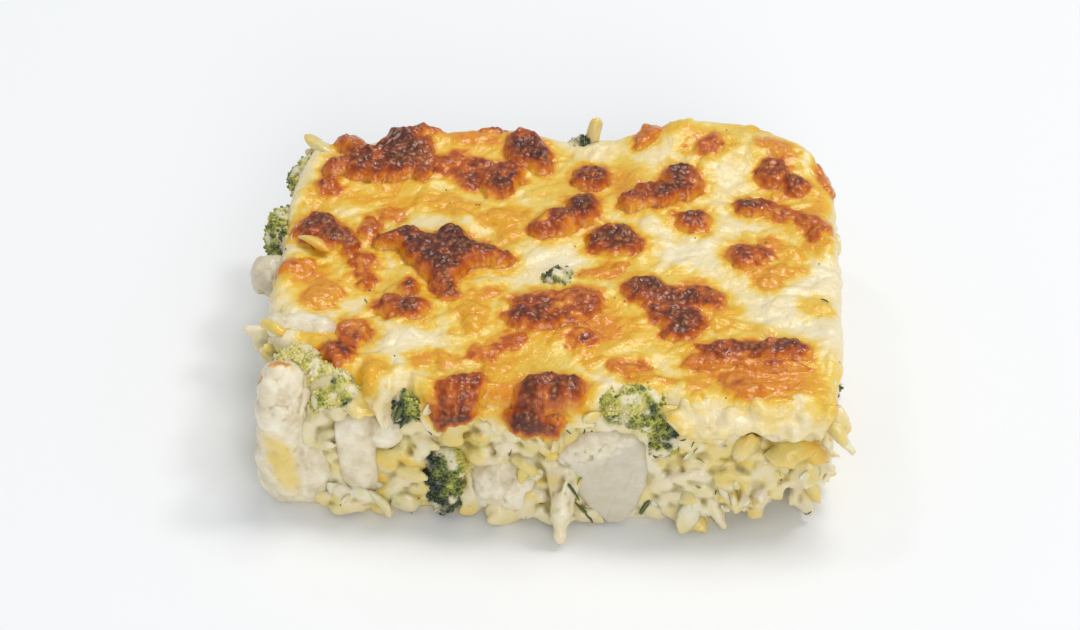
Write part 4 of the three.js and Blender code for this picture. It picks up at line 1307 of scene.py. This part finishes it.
def bud_places(points, triangles, height, cover, rng):
    """Places for buds on the heads, the way out of them, and whether nothing covers them."""
    on_heads = height[triangles].mean(1) > 0.45
    count = int(BUDS_PER_AREA * area_of(points, triangles))
    places, out = spread_points(points, triangles, count, rng, lambda middles, normals: on_heads)
    places, out = spaced(places, out, BUD_GAP)
    hits = [cover.ray_cast(Vector(p + 0.3 * n), Vector(n), 3.0)[0] for p, n in zip(places, out)]
    return places, out, np.array([hit is None for hit in hits])


def bud_balls(ball, places, out, rng):
    count = len(places)
    radius = rng.uniform(0.22, 0.46, count)
    wide = radius * rng.uniform(0.8, 1.1, count)
    sizes = np.stack([radius, wide, radius * rng.uniform(0.9, 1.4, count)], 1)
    lift = places + out * rng.uniform(-0.1, 0.25, (count, 1))
    return copies(ball, lift, unit(np.cross(out, rng.normal(size=(count, 3)))), out, sizes, np.zeros(count))


def make_broccoli(name, seed, ball, cover, material):
    rng = np.random.default_rng(seed)
    light, sauced, slope = BUD_MIX.get(name, OTHER_MIX)
    points, faces = voxel_skin(*node_shape(name), CHUNK_VOXEL)
    points = smoothed(points, faces, 4)
    middle, half = points.mean(0), np.ptp(points, axis=0) / 2
    heads = curd_bumps(points, faces, rng, 2.4, 1.7)
    push = heads - 0.3 + 0.4 * noise_at(points, 1.3) - SUNK.get(name, 0)
    points = points + vertex_normals(points, faces) * push[:, None]
    height = np.clip(0.4 + heads / 1.7, 0, 1)
    triangles = as_triangles(faces)

    def mixes(p):
        patch = noise_at(p, 2.6, 400 + seed)
        creamy = noise_at(p, 2.2, 500 + seed)
        tone = light + 0.45 * patch + slope * (p[:, 0] - middle[0]) / half[0]
        return tone, smoothstep(0.35, 0.75, creamy + sauced)

    places, out, open_to_air = bud_places(points, triangles, height, cover, rng)
    bud_tone, bud_sauce = mixes(places)
    kept = open_to_air & (rng.random(len(places)) > 0.75 * bud_sauce)
    places, out, bud_tone, bud_sauce = (part[kept] for part in (places, out, bud_tone, bud_sauce))
    shape, shape_faces = joined([(points, triangles), bud_balls(ball, places, out, rng)])
    base_tone, base_sauce = mixes(points)
    base_tone = base_tone + 0.4 * (1 - height)
    bud_tone = bud_tone - 0.12 + 0.14 * rng.normal(size=len(places))
    per_bud = len(ball[0])
    make_piece(name + "_cooked", shape, shape_faces, material, [name], {
        "tone": np.clip(np.concatenate([base_tone, np.repeat(bud_tone, per_bud)]), 0, 1),
        "sauce": np.concatenate([0.95 * base_sauce, np.repeat(0.7 * bud_sauce, per_bud)]),
    })


def spaced(places, normals, distance):
    """The places with those dropped that lie too near an earlier one."""
    cells = {}
    kept = []
    for i, place in enumerate(places):
        cell = tuple(np.floor(place / distance).astype(int).tolist())
        nearby = product(*((k - 1, k, k + 1) for k in cell))
        around = [cells[c] for c in nearby if c in cells]
        if all(np.linalg.norm(places[j] - place) >= distance for j in around) and cell not in cells:
            cells[cell] = i
            kept.append(i)
    return places[kept], normals[kept]


# Herbs and pepper.
SLIVER = tube_template(7, 4, lambda t: 0.5 * math.sin(math.pi * (0.06 + 0.88 * t)) ** 0.7)
# Strips of leaf and stem: from, to, width and tone (0 dark to 1 yellow-green).
LEAF_STRIPS = [
    ((-31.8, -43.6, 24.8), (-28.8, -42.4, 31.6), 1.2, 0.4),
    ((-30.2, -44.0, 24.0), (-27.4, -42.8, 31.0), 1.1, 0.1),
    ((-32.8, -43.2, 26.2), (-30.8, -42.0, 31.2), 1.2, 0.8),
    ((-28.6, -44.0, 24.6), (-26.2, -43.0, 29.2), 1.1, 0.6),
    ((3.4, -47.4, 14.6), (6.8, -47.6, 9.0), 0.8, 0.15),
    ((6.4, -47.6, 9.4), (10.4, -47.8, 3.4), 0.9, 0.3),
    ((18.6, -47.6, 3.4), (20.6, -47.0, 8.0), 1.0, 0.4),
]


def leaf_strips(surface):
    """The strips laid on a surface: (centres, directions, normals, sizes)."""
    start, end = (np.array([strip[i] for strip in LEAF_STRIPS]) for i in (0, 1))
    places, normals = on_surface((start + end) / 2, surface)
    width = np.array([strip[2] for strip in LEAF_STRIPS])
    sizes = np.stack([np.linalg.norm(end - start, axis=1), width, 0.3 * width], 1)
    return places + 0.2 * normals, unit(end - start), normals, sizes


def over_sides_and_top(spots, filling, cheese, top_count, rng):
    """The spots moved onto the body, and a few more places on the top of the cheese."""
    on_sides = on_surface(spots, filling)
    on_top = spread_points(*cheese, top_count, rng, lambda middles, normals: normals[:, 2] > 0.3)
    return (np.concatenate(pair) for pair in zip(on_sides, on_top))


def make_herbs(filling, cheese, leaf):
    rng = np.random.default_rng(61)
    beside = rng.normal((27, -46, 24), (4.5, 1, 3.5), (9, 3))
    around_wedge = rng.normal((8, -46, 18), (6, 1, 6), (7, 3))
    spots = np.concatenate([beside, around_wedge, wall_places(rng, HERB_PITCH)[0]])
    places, normals = over_sides_and_top(spots, filling, cheese, 5, rng)
    count = len(places)
    towards = unit(np.cross(normals, rng.normal(size=(count, 3))))
    length = rng.uniform(1.0, 3.4, count)
    width = rng.uniform(0.25, 0.5, count)
    sizes = np.stack([length, width, width * 0.4], 1)
    bend = rng.uniform(-0.4, 0.9, count)
    slivers = copies(SLIVER, places + normals * 0.15, towards, normals, sizes, bend)
    surface = joined([leaf, (filling[0], as_triangles(filling[1]))])
    strips = copies(SLIVER, *leaf_strips(surface), np.full(len(LEAF_STRIPS), 0.4))
    shape, shape_faces = wobbled(joined([slivers, strips]), 0.25, 1.2)
    tones = [*rng.random(count), *(strip[3] for strip in LEAF_STRIPS)]
    make_piece("herb_slivers", shape, shape_faces, herb_material(), (),
               {"tone": np.repeat(tones, len(SLIVER[0]))})


def make_pepper(filling, cheese, ball):
    rng = np.random.default_rng(67)
    spots = wall_places(rng, PEPPER_PITCH)[0]
    places, normals = over_sides_and_top(spots, filling, cheese, 22, rng)
    count = len(places)
    sizes = rng.uniform(0.09, 0.22, (count, 3))
    towards = unit(np.cross(normals, rng.normal(size=(count, 3))))
    shape, shape_faces = copies(ball, places + normals * 0.06, towards, normals, sizes, np.zeros(count))
    make_piece("pepper_specks", shape, shape_faces, pepper_material(), ())


# The studio. Each lamp has its azimuth, elevation, size in metres and power in watts. Azimuth 0 is
# behind the object and 90 to its right.
LAMP_DISTANCE = 2.4
LAMPS = {
    "key": (66, 58, 0.42, 11),
    "softbox": (30, 68, 0.9, 16.5),
    "glint_left": (-60, 58, 0.25, 2.5),
    "front": (165, 28, 1.2, 20),
}
FLOOR_HALF = 3.0


def make_studio():
    s = Shading("pale_floor", 0.7, specular=0.2)
    s.shader.inputs["Base Color"].default_value = (0.895, 0.905, 0.92, 1)
    corners = FLOOR_HALF * np.array([(-1.0, -1, 0), (1, -1, 0), (1, 1, 0), (-1, 1, 0)])
    mesh = as_mesh("floor", corners, [(0, 1, 2, 3)])
    mesh.materials.append(s.material)
    floor = bpy.data.objects.new("floor", mesh)
    bpy.context.scene.collection.objects.link(floor)

    world = bpy.data.worlds.new("studio")
    world.use_nodes = True
    sky = world.node_tree.nodes["Background"]
    sky.inputs["Color"].default_value = (0.88, 0.94, 1.0, 1)
    sky.inputs["Strength"].default_value = 0.50
    bpy.context.scene.world = world
    for name, lamp in LAMPS.items():
        add_light(name, *lamp)
    bpy.context.scene.view_settings.view_transform = "Standard"
    bpy.context.scene.view_settings.look = "None"


def add_light(name, azimuth, elevation, size, power):
    lamp = bpy.data.lights.new(name, "AREA")
    lamp.size = size
    lamp.energy = power
    lamp.color = (1.0, 0.965, 0.92)
    light = bpy.data.objects.new(name, lamp)
    a, e = math.radians(azimuth), math.radians(elevation)
    direction = Vector((math.sin(a) * math.cos(e), math.cos(a) * math.cos(e), math.sin(e)))
    light.location = direction * LAMP_DISTANCE
    light.rotation_euler = direction.to_track_quat("Z", "Y").to_euler()
    bpy.context.scene.collection.objects.link(light)


def make_camera():
    e, a = math.radians(ELEVATION), math.radians(TURN)
    back = Vector((math.sin(a) * math.cos(e), -math.cos(a) * math.cos(e), math.sin(e)))
    right = Vector((math.cos(a), math.sin(a), 0))
    up = back.cross(right)
    data = bpy.data.cameras.new("camera")
    data.lens = LENS
    data.sensor_width = 36
    camera = bpy.data.objects.new("camera", data)
    place = (Vector(PLAN_ORIGIN) + Vector(TARGET) + back * DISTANCE) * MM
    turn = Matrix((right, up, back)).transposed().to_4x4()
    camera.matrix_world = Matrix.Translation(place) @ turn
    bpy.context.scene.collection.objects.link(camera)
    bpy.context.scene.camera = camera


make_camera()
make_studio()
chunk_tree = tree_of([node_shape(n) for n in CAULIFLOWER + BROCCOLI])
melted = cheese_material()
cheese_skin = make_cheese(melted)
filling_skin = make_filling(chunk_tree, [shrunk(*node_shape(n), 0.6) for n in CAULIFLOWER + BROCCOLI])
make_loose_grains(filling_skin, chunk_tree)
make_coated_grains(cheese_skin, melted)
cooked_cauliflower = cauliflower_material()
for order, node in enumerate(CAULIFLOWER):
    make_cauliflower(node, 100 + order, cooked_cauliflower)
cover_tree = tree_of([(filling_skin[0], as_triangles(filling_skin[1]))])
bud = ball_template()
cooked_broccoli = broccoli_material()
for order, node in enumerate(BROCCOLI):
    make_broccoli(node, 200 + order, bud, cover_tree, cooked_broccoli)
make_herbs(filling_skin, cheese_skin, node_shape("broccoli_leaf"))
make_pepper(filling_skin, cheese_skin, bud)
